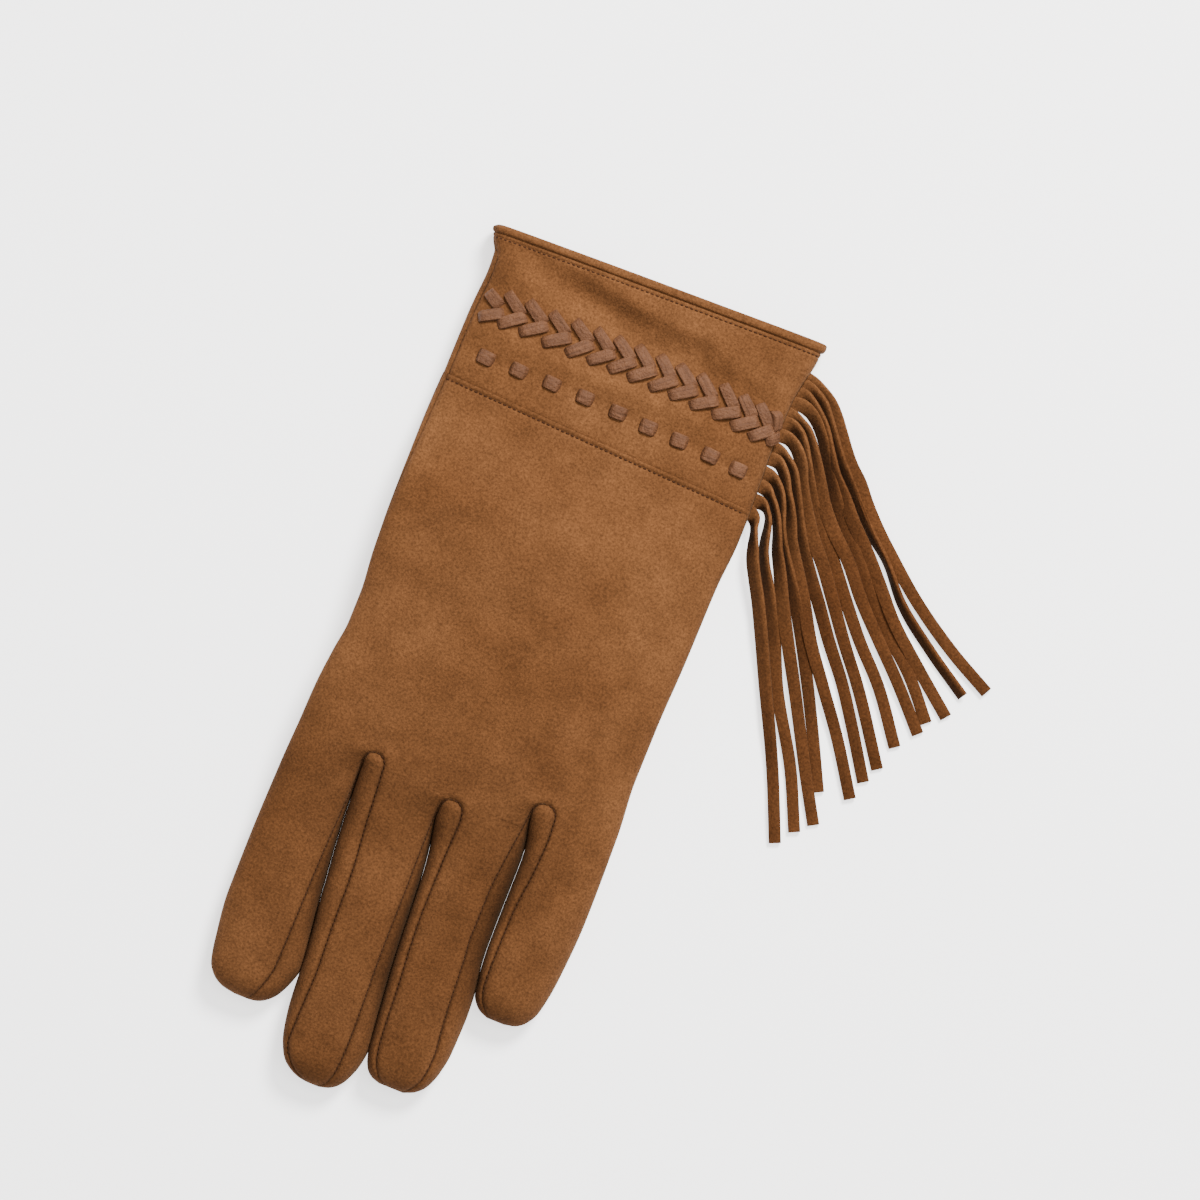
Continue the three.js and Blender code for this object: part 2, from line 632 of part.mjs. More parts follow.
// The origin is the middle of the footprint, on the table.
const box = new THREE.Box3().setFromObject(glove);
const middle = box.getCenter(new THREE.Vector3());
glove.children.forEach((piece) => piece.position.set(-middle.x, -middle.y, -box.min.z));

export default glove;
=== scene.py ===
"""Fringed suede glove for the left hand, lying palm down on a table.

The sewn panels are lofted from the outlines of the hand, the fingers and the cuff. Every size in
the tables is in millimetres in the glove's own frame: x runs from the index finger's side to the
fringe, y from the fingertips to the cuff's opening, z up from the table. Below a seam or a line
means nearer the fingertips.
"""

import math

import bmesh
import bpy
import numpy as np
from mathutils import Matrix, Vector


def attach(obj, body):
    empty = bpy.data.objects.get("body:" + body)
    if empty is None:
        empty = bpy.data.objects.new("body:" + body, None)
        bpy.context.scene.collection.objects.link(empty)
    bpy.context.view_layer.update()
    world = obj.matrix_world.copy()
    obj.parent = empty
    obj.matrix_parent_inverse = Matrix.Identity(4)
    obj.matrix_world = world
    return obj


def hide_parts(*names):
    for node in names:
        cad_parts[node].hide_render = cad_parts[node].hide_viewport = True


bl_info = {
    "name": "Fringed Suede Glove",
    "version": (1, 0, 0),
    "blender": (4, 5, 0),
    "location": "3D View > Sidebar > Glove",
    "description": "Builds a fringed suede glove with a laced cuff, piece by piece",
    "category": "Add Mesh",
}

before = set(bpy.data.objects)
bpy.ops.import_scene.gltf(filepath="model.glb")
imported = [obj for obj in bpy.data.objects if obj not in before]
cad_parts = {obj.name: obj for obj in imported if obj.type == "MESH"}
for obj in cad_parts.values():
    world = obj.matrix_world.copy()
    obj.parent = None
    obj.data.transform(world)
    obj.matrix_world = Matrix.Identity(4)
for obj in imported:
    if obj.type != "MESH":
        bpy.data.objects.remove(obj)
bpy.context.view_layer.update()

# Where the glove's own frame lies in the shared frame.
SHIFT = np.array([-39.7754, 18.3737, 0.0])

# The CAD's heights: side seam, top of the hand, top of a finger and top of the cuff's mouth.
SEAM_Z = 5.4
HAND_TOP = 13.0
FINGER_TOP = 12.2
MOUTH_TOP = 15.0

# Powers of the rounded sections. A finger is fuller on its left flank and flatter on its right.
HAND_POWER = 4.0
FINGER_POWER = 2.6
FULLER = 0.6
FLATTER = 0.5
FLANK = 0.6
FLAT_SHARE = 1.14  # above 1 the underside is flat where it rests on the table

# Outlines of the fingers, the outer two with the hand's own edge: rows of (y, x).
OUTLINES = {
    "index": {
        "tip": -125.1,
        "left": [(54, -46.4), (50, -46.7), (44, -46.9), (30, -46.7), (18, -46.5), (4, -45.9),
                 (-9, -44.8), (-17, -44.8), (-26, -45.9), (-37, -46.9), (-47, -47.2), (-60, -47.8),
                 (-80, -48.2), (-99, -48), (-112, -46.5), (-119, -45.1), (-122.3, -42.9),
                 (-124.4, -39.4), (-125.1, -35.5)],
        "right": [(-40, -26.3), (-49, -26.4), (-67, -25.7), (-92, -23.3), (-108, -21.2),
                  (-112, -20.9), (-115, -21.6), (-120.7, -24.1), (-123.4, -26.6),
                  (-124.8, -29.4), (-125.1, -31.5)],
    },
    "middle": {
        "tip": -140.4,
        "left": [(-40, -26.3), (-49, -26.4), (-67, -25.7), (-92, -23.3), (-108, -21.4),
                 (-121, -20.5), (-129.9, -19), (-133.5, -17.7), (-136.6, -15.9),
                 (-138.7, -13.3), (-140, -10.2), (-140.4, -7.5)],
        "right": [(-40, -2), (-57, -2.1), (-66, -0.6), (-74, 0.4), (-82, 1), (-90, 1.5),
                  (-100, 2.2), (-110, 3.2), (-120, 4.3), (-125.6, 5), (-130.3, 4.4), (-134.5, 3),
                  (-137.6, 1.2), (-139.6, -1.4), (-140.4, -4.2)],
    },
    "ring": {
        "tip": -133.2,
        "left": [(-40, -2), (-57, -2.1), (-66, -0.6), (-74, 0.4), (-82, 0.9), (-90, 1.35),
                 (-100, 2.05), (-110, 3.05), (-120, 4.15), (-125.6, 4.8), (-128.3, 5.5),
                 (-130.6, 6.6), (-132.3, 8.4), (-133.2, 11)],
        "right": [(-40, 22.1), (-46, 22.1), (-50, 22.6), (-56, 24), (-62, 24.5), (-74, 24.6),
                  (-86, 24.8), (-92, 25.2), (-97, 26.1), (-102, 26.6), (-108, 26.9), (-118, 26.7),
                  (-124.2, 25.7), (-129, 23.9), (-131.8, 21.3), (-133.2, 18.2)],
    },
    "little": {
        "tip": -105.1,
        "left": [(-40, 22.1), (-46, 22.1), (-50, 22.6), (-56, 24), (-62, 24.5), (-74, 24.6),
                 (-86, 24.8), (-92, 25.2), (-97, 26), (-100.4, 26.5), (-102.5, 27.8),
                 (-104, 29.4), (-105.1, 32)],
        "right": [(54, 47.3), (43.6, 47.4), (29, 46.5), (8, 46.3), (-14, 45.7), (-28, 45.7),
                  (-45, 46.9), (-71, 47.5), (-88, 46.6), (-98.5, 44.9), (-102.4, 42.8),
                  (-104.4, 40.2), (-105.1, 37)],
    },
}
FINGERS = list(OUTLINES)

# Seams between the back panel and the gussets: rows of (y, x).
BACK_SEAMS = {
    ("index", "right"): [(-51, -26.65), (-58, -26.5), (-68, -26.9), (-81, -27.3), (-100, -27.5),
                         (-113.5, -27.7), (-119, -28.9), (-123.4, -30.8), (-125.1, -32.5)],
    ("middle", "left"): [(-51, -20.5), (-55.6, -20.1), (-67.8, -19.2), (-82.5, -17.8),
                         (-97.4, -17.3), (-112.3, -16.6), (-121, -16.8), (-130.4, -16.9),
                         (-134, -15.7), (-138, -12.3), (-140.4, -7.5)],
    ("middle", "right"): [(-55, -2.25), (-62, -2.45), (-70, -2.35), (-82, -2.1), (-92, -2),
                          (-102, -1.8), (-111, -1.4), (-118.7, -1.1), (-126.8, -0.9),
                          (-134, -1.3), (-138.4, -2.6), (-140.4, -5.2)],
    ("ring", "left"): [(-55, 4.4), (-57.5, 4.7), (-66, 4.4), (-82, 4.3), (-93.6, 4.8),
                       (-106.7, 5.9), (-117.7, 6.6), (-127, 7.9), (-131.5, 10.6), (-133.2, 13.6)],
    ("ring", "right"): [(-47, 21.9), (-52, 21.5), (-57, 20.9), (-63, 20.2), (-73, 19.5),
                        (-85, 19.5), (-93, 20.2), (-108, 21.2), (-114, 21.8), (-120.5, 22.5),
                        (-126, 22.1), (-130, 20.6), (-133.2, 17.6)],
    ("little", "left"): [(-47, 28.9), (-53.4, 29.3), (-59, 29.1), (-64.9, 28.7), (-70, 28.1),
                         (-75.2, 27.7), (-87, 27.6), (-95.6, 27.8), (-100.4, 28.8),
                         (-103.6, 31.2), (-105.1, 33.4)],
}

# Each gusset's round end in the back: its top, its centre and half width, and its round's length.
# Its left half gets painted shade, darker away from the seam, down to where the fingers part, at lit.
SLOTS = [
    {"top": -47.8, "x": -23.57, "half": 3.08, "round": 3.2, "lit": -110},
    {"top": -52.0, "x": 1.12, "half": 3.28, "round": 3.2, "lit": -126},
    {"top": -43.5, "x": 25.4, "half": 3.5, "round": 3.6, "lit": -109},
]
PAINTED_SHADE_AT_SEAM = 0.3
PAINTED_SHADE_GAIN = 0.65
PAINTED_SHADE_FROM = (1, 7)  # it darkens between these distances from the round end
PAINTED_SHADE_FADE = 24.0  # and grows lighter over this length

VALLEY_LENGTH = 16.0  # the valley between two fingers deepens over this length
VALLEY_START = 0.12  # the share of it over which the valley starts softly
VALLEY_POWER = 2.6
OUTER_VALLEY = (40, 84)  # the hand's edges turn into the outer fingers' between these rows of -y
PART_FROM = 0.88  # the share of the valley after which the two fingers' gusset halves part
PART_GAP = 0.03  # and by how much each keeps back
PALM_SLOT = 11.0  # the palm's slots start this much nearer the tips
PALM_ROUND = 2.8  # length and half width of their round ends
PALM_INSET = 2.8  # a palm seam's distance from the finger's outline
PALM_INSET_SHARE = 0.22  # and its largest share of the finger's width
TIP_LENGTH = 9.0  # a fingertip is rounded over this length

# Below a slot's round end: how long outline and seam keep to the slot, and the first width of the
# gusset's half on the left finger with the length over which it opens.
NEAR_SLOT = 6.0
STRAIGHT_SEAM = 8.0
FIRST_WIDTH = 0.3
FIRST_LENGTH = 1.5

# The thumb folded under the palm, and the hump that it makes: its height, and the stretches over
# which it fades to the right, to the fingers and to the wrist.
THUMB = {"top": 5.4, "x": -27.0, "y": 14.0, "heading": -50.0, "length": 57.0,
         "root": 15.0, "tip": 12.5, "hole_x": 9.0, "hole_y": 15.0}
HOLE_CENTRE = (np.array([THUMB["x"], THUMB["y"], 0]) + SHIFT) / 1000  # in metres
HOLE_RIM = (0.7, 1.3)  # open edges between these shares of the hole's ellipse are moved onto it
HUMP = {"height": 5.7, "right": (20, 46), "fingers": (-76, -42), "wrist": (24, 50)}

# The cuff: outline rows of (share, x) from its seam to its opening.
CUFF_LEFT = [(0, -46.4), (0.05, -46.4), (0.39, -46.3), (0.51, -46.1), (0.7, -45.6), (0.83, -45.9),
             (0.89, -47.2), (0.95, -48.1), (0.98, -48.1), (1, -47.3)]
CUFF_RIGHT = [(0, 47.3), (0.2, 46.9), (0.4, 46.5), (0.62, 46.7), (0.76, 47.6), (0.88, 48.8),
              (1, 49.4)]
# Its seam and its opening: y in the middle and its slope along x.
SEAM_Y = (55.0, -0.043)
EDGE_Y = (102.0, 0.029)
CUFF_LENGTH = EDGE_Y[0] - SEAM_Y[0]
CUFF_WALL = 1.15
HEM_WALL = 1.75  # the hem is turned in, and so thicker
WRIST_STITCH = 1.5  # the wrist's stitches run this far below the wrist seam
HEM_STITCH = 3.6  # and the hem's this far below the opening
HEM_CREASE = 2.35  # the hem's rolled edge ends in a crease here
HEM_ROLL = (1.1, 1.2, 0.65)  # the roll: its top's distance from the opening, half length, height

# The soft fold below the hem: points (x, y) of its crease, and where along x it comes and goes.
FOLD = [(-40, 96.2), (-31, 94.9), (-20, 93.6), (-11, 92.2), (-0.8, 90.4), (9.8, 89.6), (19, 89),
        (27, 87.4)]
FOLD_DEPTH = 2.5
FOLD_COMES, FOLD_GOES = (-42, -16), (16, 34)
# Soft bumps and a dent beside it: x, y, how much longer along x than along y, width and height.
BUMPS = [(-38, 91, 1.6, 4.0, 0.5), (30, 95, 1, 7, 0.35), (-36, 96.3, 1.8, 2.4, -0.7)]

# The band of the palm half that shows beside the back half, on the index finger's side: its width,
# the rows between which it comes, and those between which the hem takes most of it away.
SIDE_BAND = {"width": 1.5, "comes": (12, 50), "goes": (91, 97), "taken": 0.75}
SIDE_SEAM = (8, 30)  # the seam beside that band fades in between these rows

# Centres of the running lace's stitches.
STITCH_CENTRES = [(-36.9, 64.9), (-27.1, 65), (-17.2, 65.1), (-7.2, 64.9), (2.8, 64.5),
                  (12.1, 63.8), (21.4, 63.6), (31, 63), (39.7, 62.3)]

# Braid from the side seam to the fringe: rows of (x and y of an upper bar, its angle, the angle of
# the lower bar that covers its inner end, the lengths of both).
BRAID = [
    (-41.4, 81.4, -31, 30, 6.0, 7.4), (-35.4, 82.2, -35, 36, 8.4, 8.6),
    (-29, 82.2, -33, 34, 8.4, 8.6), (-21.9, 81.8, -35, 34, 8.4, 8.6),
    (-15.1, 82, -33, 41, 8.4, 8.6), (-8.7, 82, -36, 39, 8.4, 8.6), (-2.6, 82, -36, 40, 8.4, 8.6),
    (3.5, 81.9, -38, 38, 8.4, 8.6), (10, 81.6, -41, 37, 8.4, 8.6), (16.1, 81.4, -37, 35, 8.4, 8.6),
    (22.5, 80.9, -40, 32, 8.4, 8.6), (29.3, 80.6, -43, 30, 8.4, 8.6),
    (35.2, 79.9, -43, 33, 8.2, 8.4), (40.6, 79.3, -46, 40, 8.6, 8.0),
    (44.4, 79.0, -72, 50, 6.4, 5.2),
]
UPPER_OFFSET = (0.5, -0.5)
LOWER_OFFSET = (1.4, -5.0)
LACE_THICK = 1.5
BRAID_LINE = (79.4, -0.02)  # the braid's middle: y and its slope along x
BRAID_PITCH = 6.2  # from one bar to the next
STITCH_LINE = (64.0, -0.036)  # the running lace's middle
STITCH_SIZE = (5.2, 4.0, 1.7)  # length, width and thickness of a running stitch

# Fringe strips from the wrist to the hem: where each leaves the side seam, its turn on edge in
# degrees 6, 14, 26 and 45 mm from there, and the points of its middle line to its tip. One strip
# turns further on edge towards its tip.
STRIPS = [
    {"root": 53.3, "turn": (70, 40, 34, 20),
     "line": [(48.4, 51.8), (50.0, 48.5), (51.3, 44.6), (52.8, 40.6), (55.5, 35.7), (58.3, 30.9),
              (62.2, 23.5), (68.5, 11.0), (80.0, -11.6), (88.2, -30.1)]},
    {"root": 56.1, "turn": (74, 58, 40, 12),
     "line": [(48.8, 56.1), (50.6, 55.2), (52.3, 53.3), (53.1, 51.0), (53.7, 47.9), (54.6, 44.4),
              (56.4, 40.6), (59.4, 35.8), (62.7, 29.7), (66.1, 23.6), (72.1, 11.0), (84.7, -9.7),
              (92.1, -25.3)]},
    {"root": 60.4, "turn": (62, 62, 35, 6),
     "line": [(48.0, 60.5), (50.2, 59.2), (52.3, 57.1), (54.3, 54.2), (56.2, 50.4), (58.1, 45.8),
              (60.8, 40.9), (65.3, 32.2), (68.8, 26.1), (76.6, 12.8), (89.7, -10.4),
              (96.3, -21.5)]},
    {"root": 64.4, "turn": (54, 58, 50, 18),
     "line": [(48.9, 63.9), (51.1, 62.6), (53.0, 60.4), (54.5, 57.5), (55.9, 53.9), (57.6, 50.1),
              (59.8, 46.5), (62.6, 42.5), (68.0, 34.8), (71.0, 30.0), (80.1, 14.2), (85.4, 4.4),
              (94.1, -12.5)]},
    {"root": 68.5, "turn": (50, 52, 25, 5),
     "line": [(49.1, 68.4), (50.9, 67.1), (52.4, 65.3), (54.3, 61.9), (56.3, 58.9), (58.4, 54.9),
              (60.6, 49.8), (62.9, 46.2), (65.4, 42.7), (70.2, 35.7), (76.1, 26.1), (83.9, 15.8),
              (92.7, 4.4), (103.0, -10.9)]},
    {"root": 72.0, "turn": (54, 48, 40, 18),
     "line": [(50.0, 70.7), (52.3, 69.2), (54.0, 67.5), (55.7, 64.6), (57.7, 61.0), (59.8, 57.0),
              (63.4, 50.9), (66.7, 46.3), (70.2, 41.7), (73.8, 37.2), (80.8, 28.0), (89.1, 17.9),
              (95.3, 9.0), (104.7, -5.2)]},
    {"root": 75.5, "turn": (38, 34, 15, 4),
     "line": [(49.7, 75.5), (51.8, 74.4), (54.0, 72.3), (55.7, 69.7), (57.1, 66.4), (59.6, 62.0),
              (62.5, 57.7), (66.5, 52.2), (70.9, 47.4), (77.7, 38.7), (84.6, 29.6), (92.9, 19.4),
              (107.0, -0.4)]},
    {"root": 79.2, "turn": (50, 44, 15, 4),
     "line": [(49.6, 79.2), (51.7, 78.1), (53.5, 76.0), (55.8, 72.4), (58.6, 67.6), (62.0, 62.4),
              (67.8, 55.7), (73.6, 49.1), (81.1, 40.1), (88.8, 31.2), (98.2, 21.6),
              (109.2, 7.1)]},
    {"root": 82.2, "turn": (48, 42, 12, 4),
     "line": [(50.2, 81.1), (53.1, 79.6), (55.4, 77.2), (57.7, 74.1), (61.7, 68.1), (65.8, 62.1),
              (71.0, 56.4), (77.4, 50.6), (85.1, 41.7), (93.7, 33.2), (102.9, 24.4),
              (113.8, 12.9)]},
    {"root": 85.0, "turn": (24, 44, 40, 12),
     "line": [(50.1, 85.5), (52.7, 84.6), (54.9, 83.0), (57.5, 80.3), (60.8, 75.9), (65.0, 69.6),
              (69.9, 63.1), (73.2, 59.4), (77.1, 55.0), (84.2, 47.3), (92.4, 38.7),
              (106.3, 26.3), (114.8, 16.6)]},
    {"root": 87.8, "turn": (46, 48, 40, 16),
     "line": [(48.6, 88.4), (51.3, 87.3), (53.9, 85.4), (57.0, 82.5), (61.5, 76.2), (65.2, 71.1),
              (69.7, 66.7), (74.5, 61.4), (81.2, 55.1), (88.0, 48.0), (95.4, 39.9),
              (106.9, 30.1), (119.3, 20.2)]},
    {"root": 90.9, "turn": (44, 46, 44, 38), "late_turn": 42,
     "line": [(49.0, 90.8), (52.3, 89.6), (54.4, 88.3), (56.8, 85.7), (59.6, 82.2), (66.0, 74.5),
              (70.0, 70.6), (74.9, 65.5), (80.5, 59.9), (87.1, 54.5), (96.2, 44.6),
              (108.4, 35.6), (121.4, 27.3)]},
    {"root": 93.1, "turn": (30, 20, 10, 0),
     "line": [(50.3, 92.4), (53.3, 91.1), (56.5, 89.1), (59.4, 86.2), (61.9, 83.1), (68.8, 75.0),
              (72.6, 71.7), (76.2, 67.5), (82.2, 61.5), (89.3, 55.4), (98.8, 47.7),
              (114.0, 37.8), (127.2, 30.9)]},
]
STRIP_TURN_AT = (0, 2, 6, 14, 26, 45, 75)
LATE_TURN = (40, 60)
ROOT_DEPTH = 1.2  # a strip starts this far inside the side seam

# A strip's height over the table at distances from its root, and at its tip. Every second strip
# lies higher than that by up to UPPER_LAYER, in the shares that the last table gives.
STRIP_HEIGHTS = [(0, 5.4), (3, 5.8), (8, 5.6), (16, 4.6), (30, 2.7), (48, 1.4), (70, 0.7)]
STRIP_TIP_HEIGHT = 0.62
UPPER_LAYER = 0.9
UPPER_SHARES = [(0, 0), (10, 0.2), (25, 1), (60, 1)]
THREAD_STITCH = (0.00105, 0.00048, 0.0003)  # length, width and thickness in metres
FRINGE_TONE = (0.64, 0.585, 0.54)  # the strips' colour against the cuff's

# Marks darken the suede, as seam lines and painted shade: a seam line's darkness, against deep
# painted shade at 1, and its width.
SEAM_MARK = 0.54
SEAM_LINE = 0.3

# A panel's columns start at these distances from a seam, or from the hand's round side.
SEAM_STEPS = (0, 0.22, 0.45, 0.75, 1.15, 1.7, 2.5)
ROUND_STEPS = (0, 0.12, 0.4, 0.85, 1.5, 2.4, 3.6)
PALM_STEPS = (0, 0.25, 0.8, 1.7, 3.0)

# A panel's rows of y: where each stretch starts and ends, and its step. The topmost rows are
# stretched so that the last lies on the wrist seam.
PANEL_TOP = 52.4
STRETCH_FROM = 40.0
FINGER_ROOT = -63
ROW_STRETCHES = ((PANEL_TOP, 50.2, -0.14), (50.2, -40, -1.2), (-40, FINGER_ROOT, -0.5))

# The photograph's view, straight down: its size and the glove's origin in pixels, its scale, how
# far it is turned, and the camera's height over the table in metres.
PHOTO_PIXELS = 1200
ORIGIN_PIXEL = (521.6, 624.5)
PIXELS_PER_METRE = 3600.0
VIEW_TURN = math.radians(22)
CAMERA_HEIGHT = 2.0
GLOVE_MIDDLE = 0.008  # the height over the table at which the scale holds
FLOOR_Z = -0.0001  # the floor in metres, just clear of the suede that rests on it
FLOOR_SIZE = 3.0
# Lamps: name, place and size in metres, and power in watts.
LAMPS = (
    ("key softbox", (0.22, 1.15, 1.2), 0.55, 70),
    ("overhead softbox", (0.3, 0.2, 1.4), 0.9, 12),
)


def smooth_curve(rows):
    """A function through rows of (key, value) that never overshoots them."""
    rows = sorted(rows)
    xs = np.array([row[0] for row in rows], float)
    ys = np.array([row[1] for row in rows], float)
    gaps = np.diff(xs)
    slopes = np.diff(ys) / gaps
    tangents = np.zeros(len(xs))
    same = slopes[:-1] * slopes[1:] > 0
    total = np.where(same, slopes[:-1] + slopes[1:], 1.0)
    tangents[1:-1] = np.where(same, 2 * slopes[:-1] * slopes[1:] / total, 0)
    tangents[0], tangents[-1] = slopes[0], slopes[-1]

    def value(at):
        at = np.clip(np.asarray(at, float), xs[0], xs[-1])
        i = np.clip(np.searchsorted(xs, at) - 1, 0, len(gaps) - 1)
        t = (at - xs[i]) / gaps[i]
        a, b = tangents[i] * gaps[i], tangents[i + 1] * gaps[i]
        rise = ys[i + 1] - ys[i]
        return ys[i] + t * (a + t * (3 * rise - 2 * a - b + t * (a + b - 2 * rise)))

    return value


def ease(value, start, end):
    """Smooth step from 0 at start to 1 at end."""
    t = np.clip((np.asarray(value, float) - start) / (end - start), 0, 1)
    return t * t * (3 - 2 * t)


def dome(u, power):
    """Height of a rounded section: 1 in the middle, 0 at u = -1 and 1."""
    return np.maximum(0, 1 - np.abs(np.clip(u, -1, 1)) ** power) ** (1 / power)


def bell(distance, width):
    """1 at no distance, fading smoothly on both sides over about the width."""
    return np.exp(-((distance / width) ** 2))


def lift(x, y):
    """How far the folded thumb lifts the hand off the table."""
    across = 1 - ease(x, *HUMP["right"])
    return HUMP["height"] * across * ease(y, *HUMP["fingers"]) * (1 - ease(y, *HUMP["wrist"]))


def ripple(x, y):
    """Soft unevenness of the suede, about a third of a millimetre either way."""
    return (
        0.22 * np.sin(x / 8.3 + 1.1) * np.sin(y / 12.7 + 0.3)
        + 0.18 * np.sin((x + 0.7 * y) / 10.4 + 2.0)
        + 0.12 * np.sin((0.8 * x - y) / 6.1 + 0.5)
        + 0.06 * np.sin((x + 2.1 * y) / 4.3)
    )


def wrist_seam(x):
    """y of the wrist seam."""
    return SEAM_Y[0] + SEAM_Y[1] * x


def cuff_opening(x):
    """y of the cuff's opening."""
    return EDGE_Y[0] + EDGE_Y[1] * x


EDGE = {
    (name, side): smooth_curve(OUTLINES[name][side])
    for name in FINGERS
    for side in ("left", "right")
}
SEAM = {key: smooth_curve(rows) for key, rows in BACK_SEAMS.items()}
CUFF_EDGE = {"left": smooth_curve(CUFF_LEFT), "right": smooth_curve(CUFF_RIGHT)}


def slot_of(name, side):
    """Number of the slot on that side of a finger, or None at the hand's outer edges."""
    number = FINGERS.index(name) + (0 if side == "right" else -1)
    return number if 0 <= number < len(SLOTS) else None


def back_seam(name, side, y):
    """x of the back panel's seam with a gusset. Above the slot it is the slot's middle."""
    slot = SLOTS[slot_of(name, side)]
    sign = -1 if side == "right" else 1
    centre_y = slot["top"] - slot["round"]
    up = np.clip((y - centre_y) / slot["round"], 0, 1)
    arc = slot["x"] + sign * slot["half"] * np.sqrt(1 - up**2)
    line, edge = SEAM[name, side](y), EDGE[name, side](y)
    inside = np.minimum(line, edge - 0.05) if side == "right" else np.maximum(line, edge + 0.05)
    return np.where(y > centre_y, arc, np.where(y > centre_y - STRAIGHT_SEAM, line, inside))


def finger_edge(name, side, y):
    """x of a finger's outline. Round a slot's end the two fingers' outlines meet in the valley."""
    number = slot_of(name, side)
    table = EDGE[name, side](y)
    if number is None:
        return table
    left = FINGERS[number]
    top = SLOTS[number]["top"]
    seam = back_seam(left, "right", y)
    inside = seam + FIRST_WIDTH * np.clip((top - y) / FIRST_LENGTH, 0, 1)
    near = y > top - NEAR_SLOT
    return np.where(y > top, SLOTS[number]["x"], np.where(near, np.maximum(table, inside), table))


def palm_seam(name, side, y):
    """x of the palm panel's seam with a gusset."""
    number = slot_of(name, side)
    top = SLOTS[number]["top"] - PALM_SLOT
    up = np.clip((y - (top - PALM_ROUND)) / PALM_ROUND, 0, 1)
    width = EDGE[name, "right"](y) - EDGE[name, "left"](y)
    inset = np.minimum(PALM_INSET, PALM_INSET_SHARE * width) * np.sqrt(1 - up**2)
    return finger_edge(name, side, y) + (-inset if side == "right" else inset)


def valley(name, side, y, underside=False):
    """How far the valley beside a finger has opened: 0 in the hand, 1 between free fingers."""
    number = slot_of(name, side)
    if number is None:
        return ease(-y, *OUTER_VALLEY)
    top = SLOTS[number]["top"]
    if underside:
        return ease(top - PALM_SLOT - y, 0, VALLEY_LENGTH - PALM_SLOT)
    opened = np.clip((top - y) / VALLEY_LENGTH, 0, 1)
    opened = opened**2 * (1 + VALLEY_START) / (opened + VALLEY_START)
    return 1 - (1 - opened) ** VALLEY_POWER


def tip_round(name, y):
    """1 along a finger, falling in a quarter circle to 0 at its tip."""
    tip = OUTLINES[name]["tip"]
    away = np.clip((tip + TIP_LENGTH - y) / TIP_LENGTH, 0, 1)
    return np.sqrt(np.maximum(0, 1 - away**2))


def tongue_distance(number, x, y, underside=False):
    """Distance in the panel from the outline of a gusset's round end and its two seams."""
    slot = SLOTS[number]
    left, right = FINGERS[number], FINGERS[number + 1]
    if underside:
        top = slot["top"] - PALM_SLOT
        length = half = PALM_ROUND
        centre = finger_edge(left, "right", np.asarray(top))
        sides = palm_seam(left, "right", y), palm_seam(right, "left", y)
    else:
        top, length, half, centre = slot["top"], slot["round"], slot["half"], slot["x"]
        sides = back_seam(left, "right", y), back_seam(right, "left", y)
    up = np.maximum(0, y - (top - length))
    round_end = (np.sqrt(((x - centre) / half) ** 2 + (up / length) ** 2) - 1) * half
    beside = np.maximum(sides[0] - x, x - sides[1])
    return np.where(y > top - length, round_end, beside)


def finger_surface(name, x, y, underside=False):
    """Height of a finger's or the hand's surface over the table."""
    left, right = finger_edge(name, "left", y), finger_edge(name, "right", y)
    hand_left, hand_right = EDGE["index", "left"](y), EDGE["little", "right"](y)
    across = (2 * x - left - right) / np.maximum(right - left, 0.01)
    hand_across = (2 * x - hand_left - hand_right) / (hand_right - hand_left)
    share = ease(across, -1, 1)
    opened = valley(name, "left", y, underside) * (1 - share)
    opened = opened + valley(name, "right", y, underside) * share
    hand = dome(hand_across, HAND_POWER)
    power = FINGER_POWER + FULLER * ease(-across, -FLANK, FLANK)
    finger = dome(across, power - FLATTER * ease(across, -FLANK, FLANK))
    if underside:
        flat = np.minimum(1, hand * FLAT_SHARE) * (1 - opened)
        flat = flat + np.minimum(1, finger * FLAT_SHARE) * opened
        height = -SEAM_Z * flat
    else:
        wave = ripple(x, y) * np.minimum(hand, finger * opened + hand * (1 - opened))
        height = (HAND_TOP - SEAM_Z) * hand * (1 - opened)
        height = height + (FINGER_TOP - SEAM_Z) * finger * opened + wave
        height = height - 0.25 * bell(y - wrist_seam(x) + WRIST_STITCH, 0.9) * hand
    return SEAM_Z + height * tip_round(name, y) + lift(x, y)


def seam_dip(distance):
    """A seam pulls the suede in along its line and lets it swell a little beside it."""
    sizes = bpy.context.scene.glove_sizes
    return sizes.seam_swell * bell(distance - 1.8, 1.2) - sizes.seam_depth * bell(distance, 0.42)


def panel_rows(name):
    """Rows of y along one finger from the wrist to its tip, close together at slots and tips."""
    tip = OUTLINES[name]["tip"]
    rows = [tip + TIP_LENGTH * (1 - math.sin(math.radians(turn))) for turn in range(0, 91, 6)]
    for start, end, step in (*ROW_STRETCHES, (FINGER_ROOT, tip + TIP_LENGTH + 0.5, -1.1)):
        rows += list(np.arange(start, end, step))
    for slot in SLOTS:
        rows += [slot["top"] - step for step in (0, 0.04, 0.13, 0.3, 0.55, 0.9)]
        rows += [slot["top"] - PALM_SLOT - step for step in (0, 0.05, 0.2, 0.5, 1.0)]
    rows = sorted(set(round(float(row), 3) for row in rows), reverse=True)
    return np.array([row for row in rows if row >= tip - 1e-6])


def wrist_rows(x, y):
    """y of each point of a panel, with its topmost rows stretched to the wrist seam."""
    rows = y[:, None] + 0 * x
    above = rows - STRETCH_FROM
    grown = (wrist_seam(x) - STRETCH_FROM) / (PANEL_TOP - STRETCH_FROM)
    return np.where(above > 0, STRETCH_FROM + above * grown, rows)


